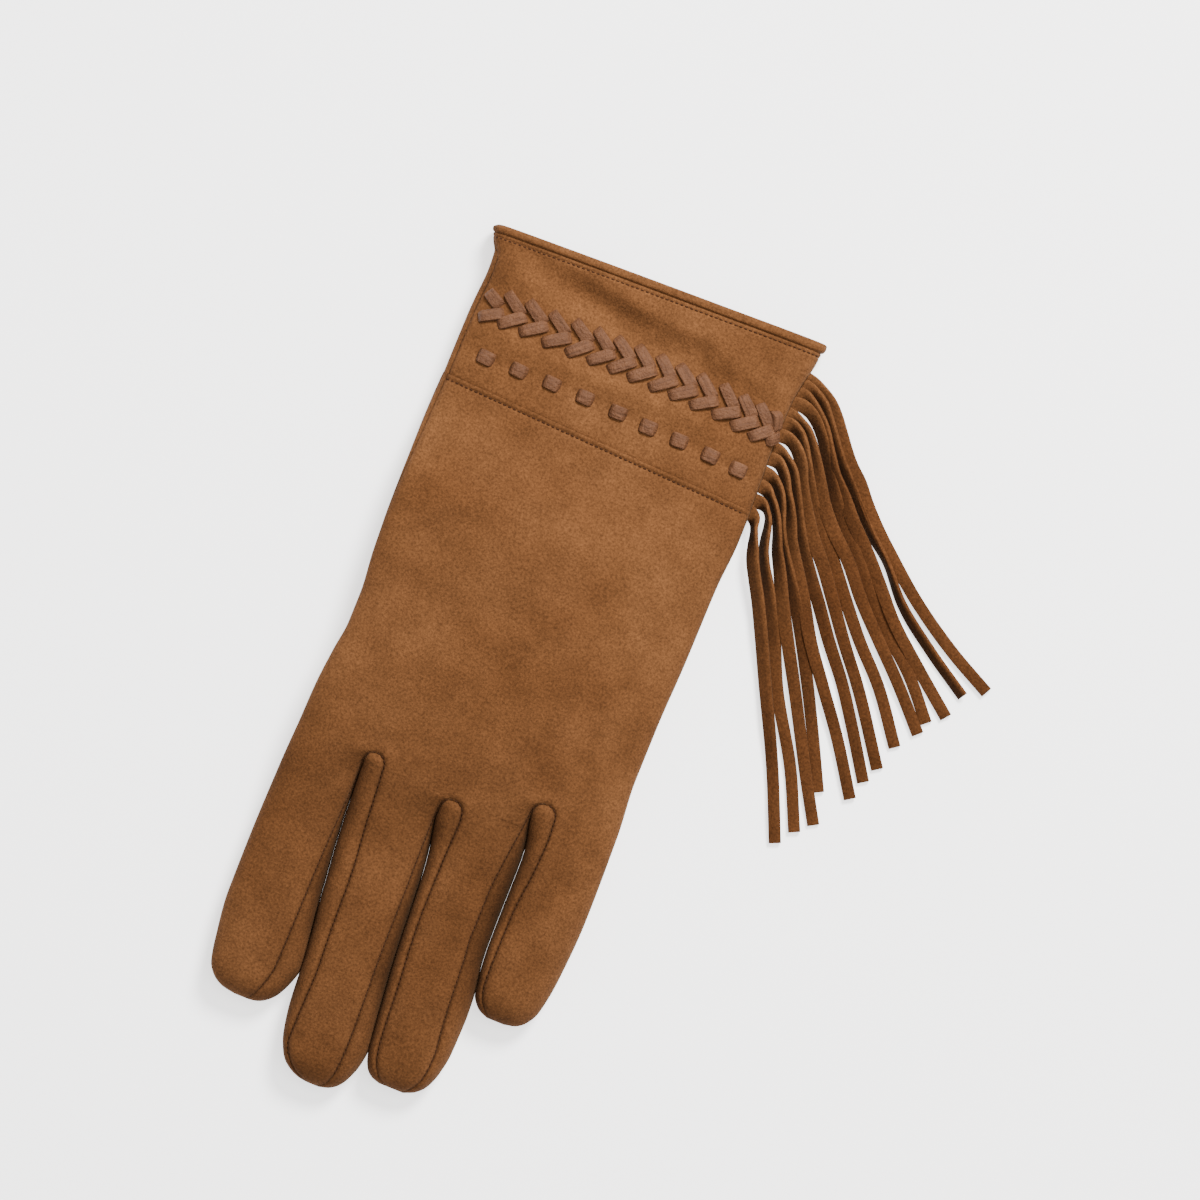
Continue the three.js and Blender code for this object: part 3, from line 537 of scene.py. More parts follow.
def spaced(left, right, near_left, near_right, count):
    """Columns from left to right, set at given distances from each side and even between."""
    width = (right - left)[:, None]
    scale = np.minimum(1, width / (2.6 * max(near_left[-1], near_right[-1])))
    first = np.array(near_left)[None, :] * scale
    last = width - np.array(near_right)[None, ::-1] * scale
    share = np.linspace(0, 1, count + 2)[None, 1:-1]
    middle = first[:, -1:] * (1 - share) + last[:, :1] * share
    return left[:, None] + np.concatenate([first, middle, last], axis=1)


class Patchwork:
    """Collects surface patches of one piece, then welds them into a mesh."""

    def __init__(self):
        self.points, self.faces, self.marks = [], [], []
        self.count = 0

    def add_grid(self, x, y, z, mark=None, flip=False):
        """Adds a grid of points. Mark darkens the suede there, from 0 to 1, as seam lines and painted
        shade.
        """
        rows, columns = x.shape
        self.points.append(np.stack([x, np.broadcast_to(y, x.shape), z], axis=-1).reshape(-1, 3))
        self.marks.append(np.zeros(x.size) if mark is None else np.clip(mark, 0, 1).reshape(-1))
        for r in range(rows - 1):
            for c in range(columns - 1):
                a = self.count + r * columns + c
                quad = (a, a + columns, a + columns + 1, a + 1)
                self.faces.append(quad[::-1] if flip else quad)
        self.count += rows * columns

    def to_object(self, name, cut=None, weld=2e-5):
        """Makes an object of the patches, with points nearer than weld, in metres, made one."""
        points = (np.concatenate(self.points) + SHIFT) / 1000
        mesh = bpy.data.meshes.new(name)
        mesh.from_pydata(points.tolist(), [], self.faces)
        # The seam attribute holds seam lines and painted shade.
        mark = mesh.attributes.new("seam", "FLOAT", "POINT")
        mark.data.foreach_set("value", np.concatenate(self.marks).astype(np.float32))
        bm = bmesh.new()
        bm.from_mesh(mesh)
        bmesh.ops.remove_doubles(bm, verts=bm.verts, dist=weld)
        bmesh.ops.dissolve_degenerate(bm, dist=1e-6, edges=bm.edges)
        loose = [edge for edge in bm.edges if not edge.link_faces]
        bmesh.ops.delete(bm, geom=loose, context="EDGES")
        if cut:
            cut(bm)
        bm.to_mesh(mesh)
        bm.free()
        piece = bpy.data.objects.new(name, mesh)
        bpy.context.scene.collection.objects.link(piece)
        return piece


def plain_mesh(piece):
    """Turns a piece's modifiers into plain mesh and removes them."""
    depsgraph = bpy.context.evaluated_depsgraph_get()
    made = bpy.data.meshes.new_from_object(piece.evaluated_get(depsgraph), depsgraph=depsgraph)
    piece.modifiers.clear()
    old, piece.data = piece.data, made
    bpy.data.meshes.remove(old)
    made.name = piece.name
    return piece


def give_wall(piece, thickness):
    """Gives a surface a suede wall on its inner side."""
    wall = piece.modifiers.new("wall", "SOLIDIFY")
    wall.thickness = thickness
    wall.offset = -1
    wall.use_even_offset = False
    return plain_mesh(piece)


def finish_piece(piece, material, nodes=(), crisp=False):
    """Shades a piece, gives it its material and ties it to the frame."""
    piece.data.materials.clear()
    piece.data.materials.append(material)
    for polygon in piece.data.polygons:
        polygon.use_smooth = True
    if crisp:
        piece.data.set_sharp_from_angle(angle=math.radians(32))
    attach(piece, "root")
    if nodes:
        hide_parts(*nodes)
    return piece


def side_band(y):
    """How far the side seam lies in on the back of the hand and cuff, beside the index finger."""
    left_over = 1 - SIDE_BAND["taken"] * ease(y, *SIDE_BAND["goes"])
    return SIDE_BAND["width"] * ease(y, *SIDE_BAND["comes"]) * left_over


def back_patch(work, name):
    """The back panel's part along one finger, from the wrist to the fingertip."""
    y = panel_rows(name)
    if name == "index":
        left = EDGE[name, "left"](y) + side_band(y)
    else:
        left = back_seam(name, "left", y)
    right = EDGE[name, "right"](y) if name == "little" else back_seam(name, "right", y)
    near_left = ROUND_STEPS if name == "index" else SEAM_STEPS
    near_right = ROUND_STEPS if name == "little" else SEAM_STEPS
    x = spaced(left, right, near_left, near_right, 15)
    rows = wrist_rows(x, y)
    z = finger_surface(name, x, rows)
    mark = np.zeros_like(x)
    for side in ("left", "right"):
        number = slot_of(name, side)
        if number is None:
            continue
        away = np.maximum(0, tongue_distance(number, x, rows))
        z = z + seam_dip(away) * tip_round(name, rows)
        mark = np.maximum(mark, bell(away, SEAM_LINE))
    if name == "index":
        away = x - left[:, None]
        z = z + seam_dip(away) * ease(rows, *SIDE_SEAM)
        mark = np.maximum(mark, bell(away, SEAM_LINE) * ease(rows, *SIDE_SEAM))
    below = wrist_seam(x) - rows
    mark = np.maximum(mark, 0.4 * bell(below, 0.12))
    z = z + 0.12 * bell(below - 0.6, 0.5) - 0.16 * bell(below - WRIST_STITCH, 0.3)
    work.add_grid(x, rows, z, SEAM_MARK * mark)


def palm_patch(work, name):
    """The palm panel's part along one finger, from the wrist to the fingertip."""
    y = panel_rows(name)
    left = EDGE[name, "left"](y) if name == "index" else palm_seam(name, "left", y)
    right = EDGE[name, "right"](y) if name == "little" else palm_seam(name, "right", y)
    x = spaced(left, right, PALM_STEPS, PALM_STEPS, 8)
    rows = y[:, None] + 0 * x
    z = finger_surface(name, x, rows, True)
    mark = np.zeros_like(x)
    for side in ("left", "right"):
        number = slot_of(name, side)
        if number is not None:
            away = np.maximum(0, tongue_distance(number, x, rows, True))
            z = z + 0.3 * bell(away, 0.3) * tip_round(name, rows)
            mark = np.maximum(mark, bell(away, SEAM_LINE))
    rows = wrist_rows(x, y)
    mark = np.maximum(mark, 0.3 * bell(wrist_seam(x) - rows, 0.14))
    work.add_grid(x, rows, z, SEAM_MARK * mark, flip=True)


def band_patch(work):
    """The strip of the palm panel that wraps onto the back beside the index finger."""
    y = panel_rows("index")
    y = y[y > SIDE_BAND["comes"][0]]
    left = EDGE["index", "left"](y)[:, None]
    x = left + side_band(y)[:, None] * np.linspace(0, 1, 6)[None, :] ** 1.5
    rows = wrist_rows(x, y)
    z = finger_surface("index", x, rows)
    away = left + side_band(y)[:, None] - x
    z = z - 0.3 * bell(away, 0.4) * ease(rows, *SIDE_SEAM)
    work.add_grid(x, rows, z, SEAM_MARK * bell(away, SEAM_LINE) * ease(rows, *SIDE_SEAM))


def fork_patch(work, name, side, underside):
    """One side of a gusset's fork: from its seam to the outline of the finger."""
    number = slot_of(name, side)
    top = SLOTS[number]["top"] - (PALM_SLOT if underside else 0)
    y = panel_rows(name)
    y = y[y <= top + 1e-6]
    apart = np.where(y < SLOTS[number]["top"] - PART_FROM * VALLEY_LENGTH, PART_GAP, 0)
    edge = finger_edge(name, side, y) + (-apart if side == "right" else apart)
    seam = palm_seam(name, side, y) if underside else back_seam(name, side, y)
    share = (1 - np.cos(np.linspace(0, math.pi, 11)))[None, :] / 2
    x = seam[:, None] * (1 - share) + edge[:, None] * share
    rows = y[:, None] + 0 * x
    z = finger_surface(name, x, rows, underside)
    away = np.abs(x - seam[:, None])
    width = np.abs(edge - seam)[:, None]
    dark = 0
    if underside:
        z = z + 0.3 * bell(away, 0.45) * tip_round(name, rows)
    else:
        if side == "right":
            lit = SLOTS[number]["lit"]
            # Painted shade on the gusset's left half, darkest at the finger's outline.
            dark = (PAINTED_SHADE_AT_SEAM + PAINTED_SHADE_GAIN * share) * ease(top - rows, *PAINTED_SHADE_FROM)
            dark = dark * ease(rows, lit, lit + PAINTED_SHADE_FADE)
        swell = np.minimum(0.75, 0.13 * width) * np.sin(math.pi * share) * ease(top - rows, 0, 2.5)
        dip = 0.45 * bell(away, 0.45) + 0.25 * bell(top - rows, 0.9)
        z = z + (swell - dip * np.minimum(1, width / 1.5)) * tip_round(name, rows)
    facing = (side == "right") == underside
    work.add_grid(x, rows, z, np.maximum(SEAM_MARK * bell(away, 0.45), dark), flip=facing)


def hole_share(co):
    """How far out a point in metres lies in the thumb hole's ellipse: 1 on its rim."""
    return math.hypot((co.x - HOLE_CENTRE[0]) * 1000 / THUMB["hole_x"],
                      (co.y - HOLE_CENTRE[1]) * 1000 / THUMB["hole_y"])


def open_thumb_hole(bm):
    """Removes the faces inside the thumb hole and draws the rim onto its ellipse."""
    inside = [f for f in bm.faces if hole_share(f.calc_center_median()) < 1 and f.normal.z < 0.5]
    bmesh.ops.delete(bm, geom=inside, context="FACES")
    for edge in bm.edges:
        if len(edge.link_faces) != 1:
            continue
        for vert in edge.verts:
            share = hole_share(vert.co)
            if HOLE_RIM[0] < share < HOLE_RIM[1]:
                vert.co.x = HOLE_CENTRE[0] + (vert.co.x - HOLE_CENTRE[0]) / share
                vert.co.y = HOLE_CENTRE[1] + (vert.co.y - HOLE_CENTRE[1]) / share


def noise_node(tree, vector, scale, detail, roughness, place):
    """Output of a noise texture read at a vector."""
    node = tree.nodes.new("ShaderNodeTexNoise")
    node.inputs["Scale"].default_value = scale
    node.inputs["Detail"].default_value = detail
    node.inputs["Roughness"].default_value = roughness
    node.location = place
    tree.links.new(vector, node.inputs["Vector"])
    return node.outputs["Fac"]


def ranged(tree, value, low, high, to_low, to_high):
    """A value from the range low to high, moved to the range to_low to to_high."""
    node = tree.nodes.new("ShaderNodeMapRange")
    node.inputs["From Min"].default_value = low
    node.inputs["From Max"].default_value = high
    node.inputs["To Min"].default_value = to_low
    node.inputs["To Max"].default_value = to_high
    tree.links.new(value, node.inputs["Value"])
    return node.outputs["Result"]


def mixed(tree, share, first, second, blend="MIX"):
    """Output of a colour mix: share, first and second are numbers, colours or outputs."""
    node = tree.nodes.new("ShaderNodeMix")
    node.data_type = "RGBA"
    node.blend_type = blend
    for socket, value in ((0, share), (6, first), (7, second)):
        if hasattr(value, "is_linked"):
            tree.links.new(value, node.inputs[socket])
        elif isinstance(value, (int, float)):
            node.inputs[socket].default_value = value
        else:
            node.inputs[socket].default_value = (*value[:3], 1)
    return node.outputs[2]


def new_material(name):
    """A new material with its node tree and its shader."""
    material = bpy.data.materials.new(name)
    material.use_nodes = True
    tree = material.node_tree
    return material, tree, tree.nodes["Principled BSDF"]


def suede_material(name, light, dark, tone=(1, 1, 1)):
    """Napped suede: broad nap patches, small mottling, fine grain, darker seams and painted shade.

    Tone darkens what lies away from the side seam.
    """
    material, tree, shader = new_material(name)
    place = tree.nodes.new("ShaderNodeTexCoord").outputs["Object"]
    patches = noise_node(tree, place, 30, 2, 0.5, (-900, 300))
    mottle = noise_node(tree, place, 130, 2, 0.5, (-900, 100))
    fleck = noise_node(tree, place, 1500, 3, 0.75, (-900, -100))
    colour = mixed(tree, ranged(tree, patches, 0.35, 0.65, 0, 1), dark, light)
    softened = ranged(tree, mottle, 0.3, 0.7, 0.88, 1.12)
    grained = ranged(tree, fleck, 0.32, 0.68, 0.62, 1.4)
    parts = tree.nodes.new("ShaderNodeSeparateXYZ")
    tree.links.new(place, parts.inputs["Vector"])
    # Painted shade: darker towards the fingertips, where the light falls off.
    brushed = ranged(tree, parts.outputs["Y"], -0.09, 0.09, 0.8, 1.03)
    for factor in (softened, grained, brushed):
        colour = mixed(tree, 1.0, colour, factor, "MULTIPLY")
    # The seam attribute darkens the seam lines and paints shade on the gussets' left halves, in the
    # hem's crease and on the fringe's turned faces.
    seam = tree.nodes.new("ShaderNodeAttribute")
    seam.attribute_name = "seam"
    shade = ranged(tree, seam.outputs["Fac"], 0, 1, 1, 0.3)
    colour = mixed(tree, 1.0, colour, shade, "MULTIPLY")
    if tone != (1, 1, 1):
        away = ranged(tree, parts.outputs["X"], 0.012, 0.034, 0, 1)
        colour = mixed(tree, 1.0, colour, mixed(tree, away, (1, 1, 1), tone), "MULTIPLY")
    tree.links.new(colour, shader.inputs["Base Color"])
    shader.inputs["Roughness"].default_value = 0.95
    shader.inputs["Specular IOR Level"].default_value = 0.05
    shader.inputs["Sheen Weight"].default_value = 0.04
    shader.inputs["Sheen Roughness"].default_value = 0.45
    shader.inputs["Sheen Tint"].default_value = (0.9, 0.66, 0.42, 1)
    grain = noise_node(tree, place, 2600, 3, 0.7, (-900, -300))
    bump = tree.nodes.new("ShaderNodeBump")
    bump.inputs["Strength"].default_value = 0.5
    bump.inputs["Distance"].default_value = 0.00025
    tree.links.new(grain, bump.inputs["Height"])
    coarse = tree.nodes.new("ShaderNodeBump")
    coarse.inputs["Strength"].default_value = 0.35
    coarse.inputs["Distance"].default_value = 0.0006
    tree.links.new(noise_node(tree, place, 420, 3, 0.6, (-900, -500)), coarse.inputs["Height"])
    tree.links.new(coarse.outputs["Normal"], bump.inputs["Normal"])
    tree.links.new(bump.outputs["Normal"], shader.inputs["Normal"])
    return material


def lace_material(name, light, dark):
    """Smooth lace leather with fine creases across its grain."""
    material, tree, shader = new_material(name)
    along = tree.nodes.new("ShaderNodeAttribute")
    along.attribute_name = "lace_uv"
    place = tree.nodes.new("ShaderNodeTexCoord").outputs["Object"]
    creases = tree.nodes.new("ShaderNodeMapping")
    creases.inputs["Scale"].default_value = (0.35, 2.2, 1)
    own = tree.nodes.new("ShaderNodeAttribute")
    own.attribute_name = "lace_mark"
    moved = tree.nodes.new("ShaderNodeVectorMath")
    tree.links.new(along.outputs["Vector"], moved.inputs[0])
    tree.links.new(own.outputs["Fac"], moved.inputs[1])
    tree.links.new(moved.outputs["Vector"], creases.inputs["Vector"])
    lines = noise_node(tree, creases.outputs["Vector"], 2.4, 4, 0.65, (-700, 100))
    mottle = noise_node(tree, place, 700, 4, 0.7, (-700, 300))
    colour = mixed(tree, ranged(tree, mottle, 0.3, 0.7, 0, 1), dark, light)
    colour = mixed(tree, 1.0, colour, ranged(tree, lines, 0.3, 0.7, 0.7, 1.28), "MULTIPLY")
    tree.links.new(colour, shader.inputs["Base Color"])
    shader.inputs["Roughness"].default_value = 0.6
    shader.inputs["Specular IOR Level"].default_value = 0.15
    bump = tree.nodes.new("ShaderNodeBump")
    bump.inputs["Strength"].default_value = 0.5
    bump.inputs["Distance"].default_value = 0.0003
    tree.links.new(lines, bump.inputs["Height"])
    crinkle = tree.nodes.new("ShaderNodeBump")
    crinkle.inputs["Strength"].default_value = 1.0
    crinkle.inputs["Distance"].default_value = 0.0005
    tree.links.new(noise_node(tree, place, 1300, 3, 0.65, (-700, -200)), crinkle.inputs["Height"])
    tree.links.new(bump.outputs["Normal"], crinkle.inputs["Normal"])
    tree.links.new(crinkle.outputs["Normal"], shader.inputs["Normal"])
    return material


def thread_material(name, colour):
    """Matt sewing thread with darker fibres."""
    material, tree, shader = new_material(name)
    place = tree.nodes.new("ShaderNodeTexCoord").outputs["Object"]
    fibres = noise_node(tree, place, 3000, 2, 0.5, (-500, 0))
    darker = [0.6 * part for part in colour[:3]]
    tree.links.new(mixed(tree, fibres, darker, colour), shader.inputs["Base Color"])
    shader.inputs["Roughness"].default_value = 0.9
    shader.inputs["Specular IOR Level"].default_value = 0.1
    return material


def suede(name="brushed suede", tone=(1, 1, 1)):
    """The suede of that name, made on its first use."""
    colours = bpy.context.scene.glove_colours
    made = bpy.data.materials.get(name)
    return made or suede_material(name, colours.suede_light, colours.suede_dark, tone)


def cuff_edges(share):
    """x of the cuff's two outlines at a share of its length."""
    return CUFF_EDGE["left"](share), CUFF_EDGE["right"](share)


def fold_depth(x, y):
    """Depth of the soft fold across the cuff, less the ridge above it and the bumps beside it."""
    away = y - np.interp(x, *zip(*FOLD))
    reach = ease(x, *FOLD_COMES) * (1 - ease(x, *FOLD_GOES))
    step = ease(-away, -3.4, 3.0) * (1 - ease(-away, 3.4, 10.5))
    depth = reach * (FOLD_DEPTH * step - 0.5 * bell(away - 4.5, 2.6))
    for bump_x, bump_y, longer, width, height in BUMPS:
        depth = depth - height * bell(np.hypot((x - bump_x) / longer, y - bump_y), width)
    return depth


def lace_puckers(x, y):
    """Where the running lace dives through the cuff, and where the braid pulls on it."""
    dip = 0
    for stitch_x, stitch_y in STITCH_CENTRES:
        for end in (-STITCH_SIZE[0] / 2, STITCH_SIZE[0] / 2):
            dip = dip + 0.7 * bell(np.hypot(x - stitch_x - end, (y - stitch_y) / 1.4), 1.1)
    inside = ease(x, -47, -43) * (1 - ease(x, 43, 47))
    beside = np.abs(y - BRAID_LINE[0] - BRAID_LINE[1] * x)
    wave = 0.22 * np.sin(x * 2 * math.pi / BRAID_PITCH + 1) * bell(beside - 7.2, 2.4)
    band = 0.7 * bell(beside, 4.6) - 0.35 * bell(beside - 8.2, 2.4) + wave
    above = y - STITCH_LINE[0] - STITCH_LINE[1] * x
    low = 0.35 * bell(above, 3.2) - 0.25 * bell(above - 6, 2.4)
    return dip + inside * (band + low)


def cuff_point(u, share, inset, underside=False):
    """A point of the cuff's wall: inset is its depth under the outer surface."""
    left, right = cuff_edges(share)
    centre, half = (left + right) / 2, (right - left) / 2
    x = centre + (half - inset) * u
    y = wrist_seam(x) * (1 - share) + cuff_opening(x) * share
    arch = dome(u, HAND_POWER)
    if underside:
        z = SEAM_Z - (SEAM_Z - inset) * np.minimum(1, arch * FLAT_SHARE)
    else:
        top = HAND_TOP + (MOUTH_TOP - HAND_TOP) * share
        z = SEAM_Z + (top - SEAM_Z - inset) * arch
        z = z + (ripple(x, y) - fold_depth(x, y) - lace_puckers(x, y)) * arch
    return x, y, z


def cuff_profile():
    """Rows of the cuff's wall, from the wrist seam over the rolled hem and back in.

    Each is a distance from the opening and a depth under the cuff's outer surface.
    """
    outside = [CUFF_LENGTH, CUFF_LENGTH - 0.12, CUFF_LENGTH - 0.35]
    outside += list(np.arange(CUFF_LENGTH - 0.75, 5.0, -0.75))
    outside += list(np.arange(5.0, 0.35, -0.16))
    roll_top, roll_half, roll_height = HEM_ROLL
    rows = []
    for away in outside:
        roll = roll_height * math.sqrt(max(0, 1 - ((away - roll_top) / roll_half) ** 2))
        crease = 0.28 * bell(away - HEM_CREASE, 0.2) + 0.18 * bell(away - HEM_STITCH, 0.3)
        rows.append((away, crease - roll))
    for turn in np.radians(range(-60, 91, 25)):
        rows.append((0.35 - 0.55 * math.cos(turn), 0.5 + 1.15 * math.sin(turn)))
    rows += [(away, HEM_WALL) for away in (1.0, 2.5, 5.0, 7.4, 7.8)]
    rows += [(away, CUFF_WALL) for away in (8.1, *np.arange(10, CUFF_LENGTH, 3.0), CUFF_LENGTH)]
    return rows


def cuff_shell(name, underside, columns, node):
    """A cuff half as a closed shell: columns gives each column's place across, by share."""
    work = Patchwork()
    rows = []
    for away, inset in cuff_profile():
        share = 1 - away / CUFF_LENGTH
        bounded = min(max(share, 0), 1)
        u, under = columns(bounded)
        top = cuff_point(u, bounded, inset)
        low = cuff_point(u, bounded, inset, True)
        x, y, z = (np.where(under, b, a) for a, b in zip(top, low))
        if underside:
            z = np.maximum(z, 0.02)
        y = y + (share - bounded) * CUFF_LENGTH
        from_side = side_line(x, bounded)
        from_wrist = CUFF_LENGTH - away
        if inset < 1:
            z = z - 0.35 * bell(from_side, 0.45)
            if not underside:
                z = z - 0.2 * bell(from_wrist, 0.5)
        # Painted shade in the hem's crease, and a faint dark line along the wrist seam.
        across = max(0.35 * bell(away - HEM_CREASE, 0.16), 0.08 * bell(from_wrist, 0.15))
        mark = np.maximum(0.7 * bell(from_side, SEAM_LINE), across)
        rows.append((x, y, z, SEAM_MARK * mark))
    rows.append(rows[0])
    x, y, z, mark = (np.array(part) for part in zip(*rows))
    work.add_grid(x, y, z, mark, flip=not underside)
    first = np.arange(len(rows) - 1) * x.shape[1]
    for end in (first, first[::-1] + x.shape[1] - 1):
        work.faces.append(tuple((end[::-1] if underside else end).tolist()))
    return finish_piece(work.to_object(name), suede(), (node,))


def side_line(x, share):
    """Distance from the cuff's side seam beside the index finger."""
    left, _ = cuff_edges(share)
    return x - (left + side_band(SEAM_Y[0] + CUFF_LENGTH * share))


def seam_u(share):
    """Place across the cuff, from -1 to 1, of its side seam beside the index finger."""
    left, right = cuff_edges(share)
    return -1 + 2 * side_band(SEAM_Y[0] + CUFF_LENGTH * share) / (right - left)


def cuff_back_columns(share, count=120):
    """Places across the cuff's upper half, and that none of them lies on the underside."""
    start = float(seam_u(share))
    t = np.linspace(0, 1, count)
    u = -np.cos(math.pi * (0.12 + 0.88 * t))
    u = (u - u[0]) / (u[-1] - u[0])
    return start + (1 - start) * (0.35 * t + 0.65 * u), np.zeros(count, bool)


def cuff_palm_columns(share):
    """Places across the cuff's lower half, with its side band, and which lie on the underside."""
    start = float(seam_u(share))
    below = np.cos(np.linspace(0, math.pi, 60))
    above = -1 + (start + 1) * np.linspace(0, 1, 7)[1:] ** 2
    u = np.concatenate([below, above])
    return u[::-1], (np.arange(len(u)) < len(below))[::-1]


def thumb_points():
    """Rings of the flattened thumb bag."""
    middle = THUMB["top"] / 2
    shares = np.concatenate([-np.cos(np.linspace(0, math.pi / 2, 12)), np.linspace(0, 0.5, 16)[1:],
                             0.5 + 0.5 * np.sin(np.linspace(0, math.pi / 2, 14))[1:]])
    turn = math.radians(THUMB["heading"])
    rings = []
    for share in shares:
        far = (share - 0.5) / 0.5 if share > 0.5 else min(share, 0)
        full = THUMB["root"] + (THUMB["tip"] - THUMB["root"]) * min(max(share / 0.6, 0), 1)
        closing = math.sqrt(max(0, 1 - far * far))
        reach = share * (THUMB["root"] if share < 0 else THUMB["length"])
        angle = np.linspace(0, 2 * math.pi, 49)[:-1]
        across = full * closing * np.cos(angle)
        arch = np.minimum(1, dome(np.cos(angle), FINGER_POWER) * FLAT_SHARE)
        up = middle * min(1, closing * 1.35) * arch * np.sign(np.sin(angle))
        x = THUMB["x"] + reach * math.cos(turn) - across * math.sin(turn)
        y = THUMB["y"] + reach * math.sin(turn) + across * math.cos(turn)
        rings.append(np.stack([x, y, middle + up], axis=-1))
    return np.array(rings)


def catmull(keys, values, at):
    """Smooth interpolation of values at keys."""
    tangents = np.gradient(values, keys)
    i = np.clip(np.searchsorted(keys, at) - 1, 0, len(keys) - 2)
    gap = keys[i + 1] - keys[i]
    t = (at - keys[i]) / gap
    a, b = tangents[i] * gap, tangents[i + 1] * gap
    rise = values[i + 1] - values[i]
    return values[i] + t * (a + t * (3 * rise - 2 * a - b + t * (a + b - 2 * rise)))


def strip_section(half, thick):
    """A strip's section with round corners: points across and up, and which get painted shade on
    edge.
    """
    corner = 0.22
    turns = np.radians([8, 45, 82])
    wide, deep, shaded = [], [], []
    for quarter, (sx, sy) in enumerate(((1, 1), (-1, 1), (-1, -1), (1, -1))):
        for turn in turns if quarter % 2 == 0 else turns[::-1]:
            wide.append(sx * (half - corner + corner * math.cos(turn)))
            deep.append(sy * (thick - corner + corner * math.sin(turn)))
            shaded.append(1.0 if sx > 0 else 0.0)
        if quarter == 0:
            wide.append(-0.3 * half)
            deep.append(thick)
            shaded.append(1.0)
    return np.array(wide), np.array(deep), np.array(shaded)


def straight(at, rows):
    """Value at a place along a strip, on straight lines between rows of (place, value)."""
    return np.interp(at, *zip(*rows))


def strip_rings(number):
    """Rings of one fringe strip: it leaves the seam flat, turns on edge and lies down."""
    sizes = bpy.context.scene.glove_sizes
    strip = STRIPS[number]
    root_x = float(cuff_edges((strip["root"] - SEAM_Y[0]) / CUFF_LENGTH)[1])
    knots = np.array([(root_x - ROOT_DEPTH, strip["root"] + 0.1), *strip["line"]], float)
    reach = np.concatenate([[0], np.cumsum(np.hypot(*np.diff(knots, axis=0).T))])
    total = reach[-1]
    at = np.concatenate([np.linspace(0, 26, 48), np.linspace(26, total, 46)[1:]])
    x, y = catmull(reach, knots[:, 0], at), catmull(reach, knots[:, 1], at)

    height = straight(at, [*STRIP_HEIGHTS, (total, STRIP_TIP_HEIGHT)])
    if number % 2 == 0:
        share = straight(at, [*UPPER_SHARES, (total - 8, 0.4), (total, 0)])
        height = height + UPPER_LAYER * share
    rng = np.random.default_rng(number + 3)
    wave = np.sin(at / rng.uniform(9, 13) + rng.uniform(0, 6)) ** 2
    height = height + 0.5 * wave * ease(at, 25, 45)
    sway = rng.uniform(-5, 5) * np.sin(at / 17 + rng.uniform(0, 6))
    roll = smooth_curve(list(zip(STRIP_TURN_AT, (0, 12, *strip["turn"], 3))))(at)
    roll = roll + strip.get("late_turn", 0) * ease(at, *LATE_TURN)
    roll = np.radians(roll + sway * ease(at, 5, 30))

    centre = np.stack([x, y, height], axis=-1)
    forward = np.gradient(centre, axis=0)
    forward /= np.linalg.norm(forward, axis=1)[:, None]
    side = np.cross(forward, [0, 0, 1.0])
    side /= np.linalg.norm(side, axis=1)[:, None]
    up = np.cross(side, forward)
    across = side * np.cos(roll)[:, None] - up * np.sin(roll)[:, None]
    over = np.cross(across, forward)
    half = sizes.strip_width * 500
    wide, deep, shaded = strip_section(half, sizes.strip_thickness * 500)
    broad = straight(
        at, [(0, 1.2), (14, 1.24), (total * 0.4, 1.16), (total * 0.7, 1.05), (total, 1.03)]
    )
    curl = 0.12 * (wide / half) ** 2
    rings = centre[:, None, :] + across[:, None, :] * (wide[None, :] * broad[:, None])[..., None]
    rings = rings + over[:, None, :] * (deep - curl)[None, :, None]
    # Painted shade on the half that a strip turns down as it rolls on edge, more the further it
    # rolls.
    mark = np.clip(np.sin(roll) * 1.15, 0, 1)[:, None] * shaded[None, :]
    low = rings[:, :, 2].min(axis=1)
    rings[:, :, 2] += np.maximum(0, 0.05 - low)[:, None]
    return rings, mark


def add_tube(work, rings, mark=None):
    """Adds a tube of rings with closed ends to a patchwork."""
    start = work.count
    count = rings.shape[1]
    closed = np.concatenate([rings, rings[:, :1]], axis=1)
    if mark is not None:
        mark = np.concatenate([mark, mark[:, :1]], axis=1)
    work.add_grid(closed[..., 0], closed[..., 1], closed[..., 2], mark)
    last = start + (len(rings) - 1) * (count + 1)
    work.faces.append(tuple(range(start, start + count)))
    work.faces.append(tuple(range(last + count - 1, last - 1, -1)))


def outward(piece):
    """Points a closed piece's faces outwards."""
    bm = bmesh.new()
    bm.from_mesh(piece.data)
    bmesh.ops.recalc_face_normals(bm, faces=bm.faces)
    bm.to_mesh(piece.data)
    bm.free()
    return piece


def surface_height(x, y):
    """Height of the glove's upper surface, on the hand or on the cuff."""
    if y < wrist_seam(x):
        for name in FINGERS:
            if finger_edge(name, "left", y) <= x <= finger_edge(name, "right", y):
                return float(finger_surface(name, x, y))
        return SEAM_Z
    share = (y - wrist_seam(x)) / (cuff_opening(x) - wrist_seam(x))
    left, right = cuff_edges(share)
    across = (2 * x - left - right) / (right - left)
    return float(cuff_point(np.array([across]), share, 0)[2][0])


def link_nodes(tree, *links):
    """Links pairs of an output and an input."""
    for start, end in links:
        tree.links.new(start, end)


def group_input(tree, name, kind, default=None):
    """Adds a named input to a node tree."""
    socket = tree.interface.new_socket(name, in_out="INPUT", socket_type=kind)
    if default is not None:
        socket.default_value = default


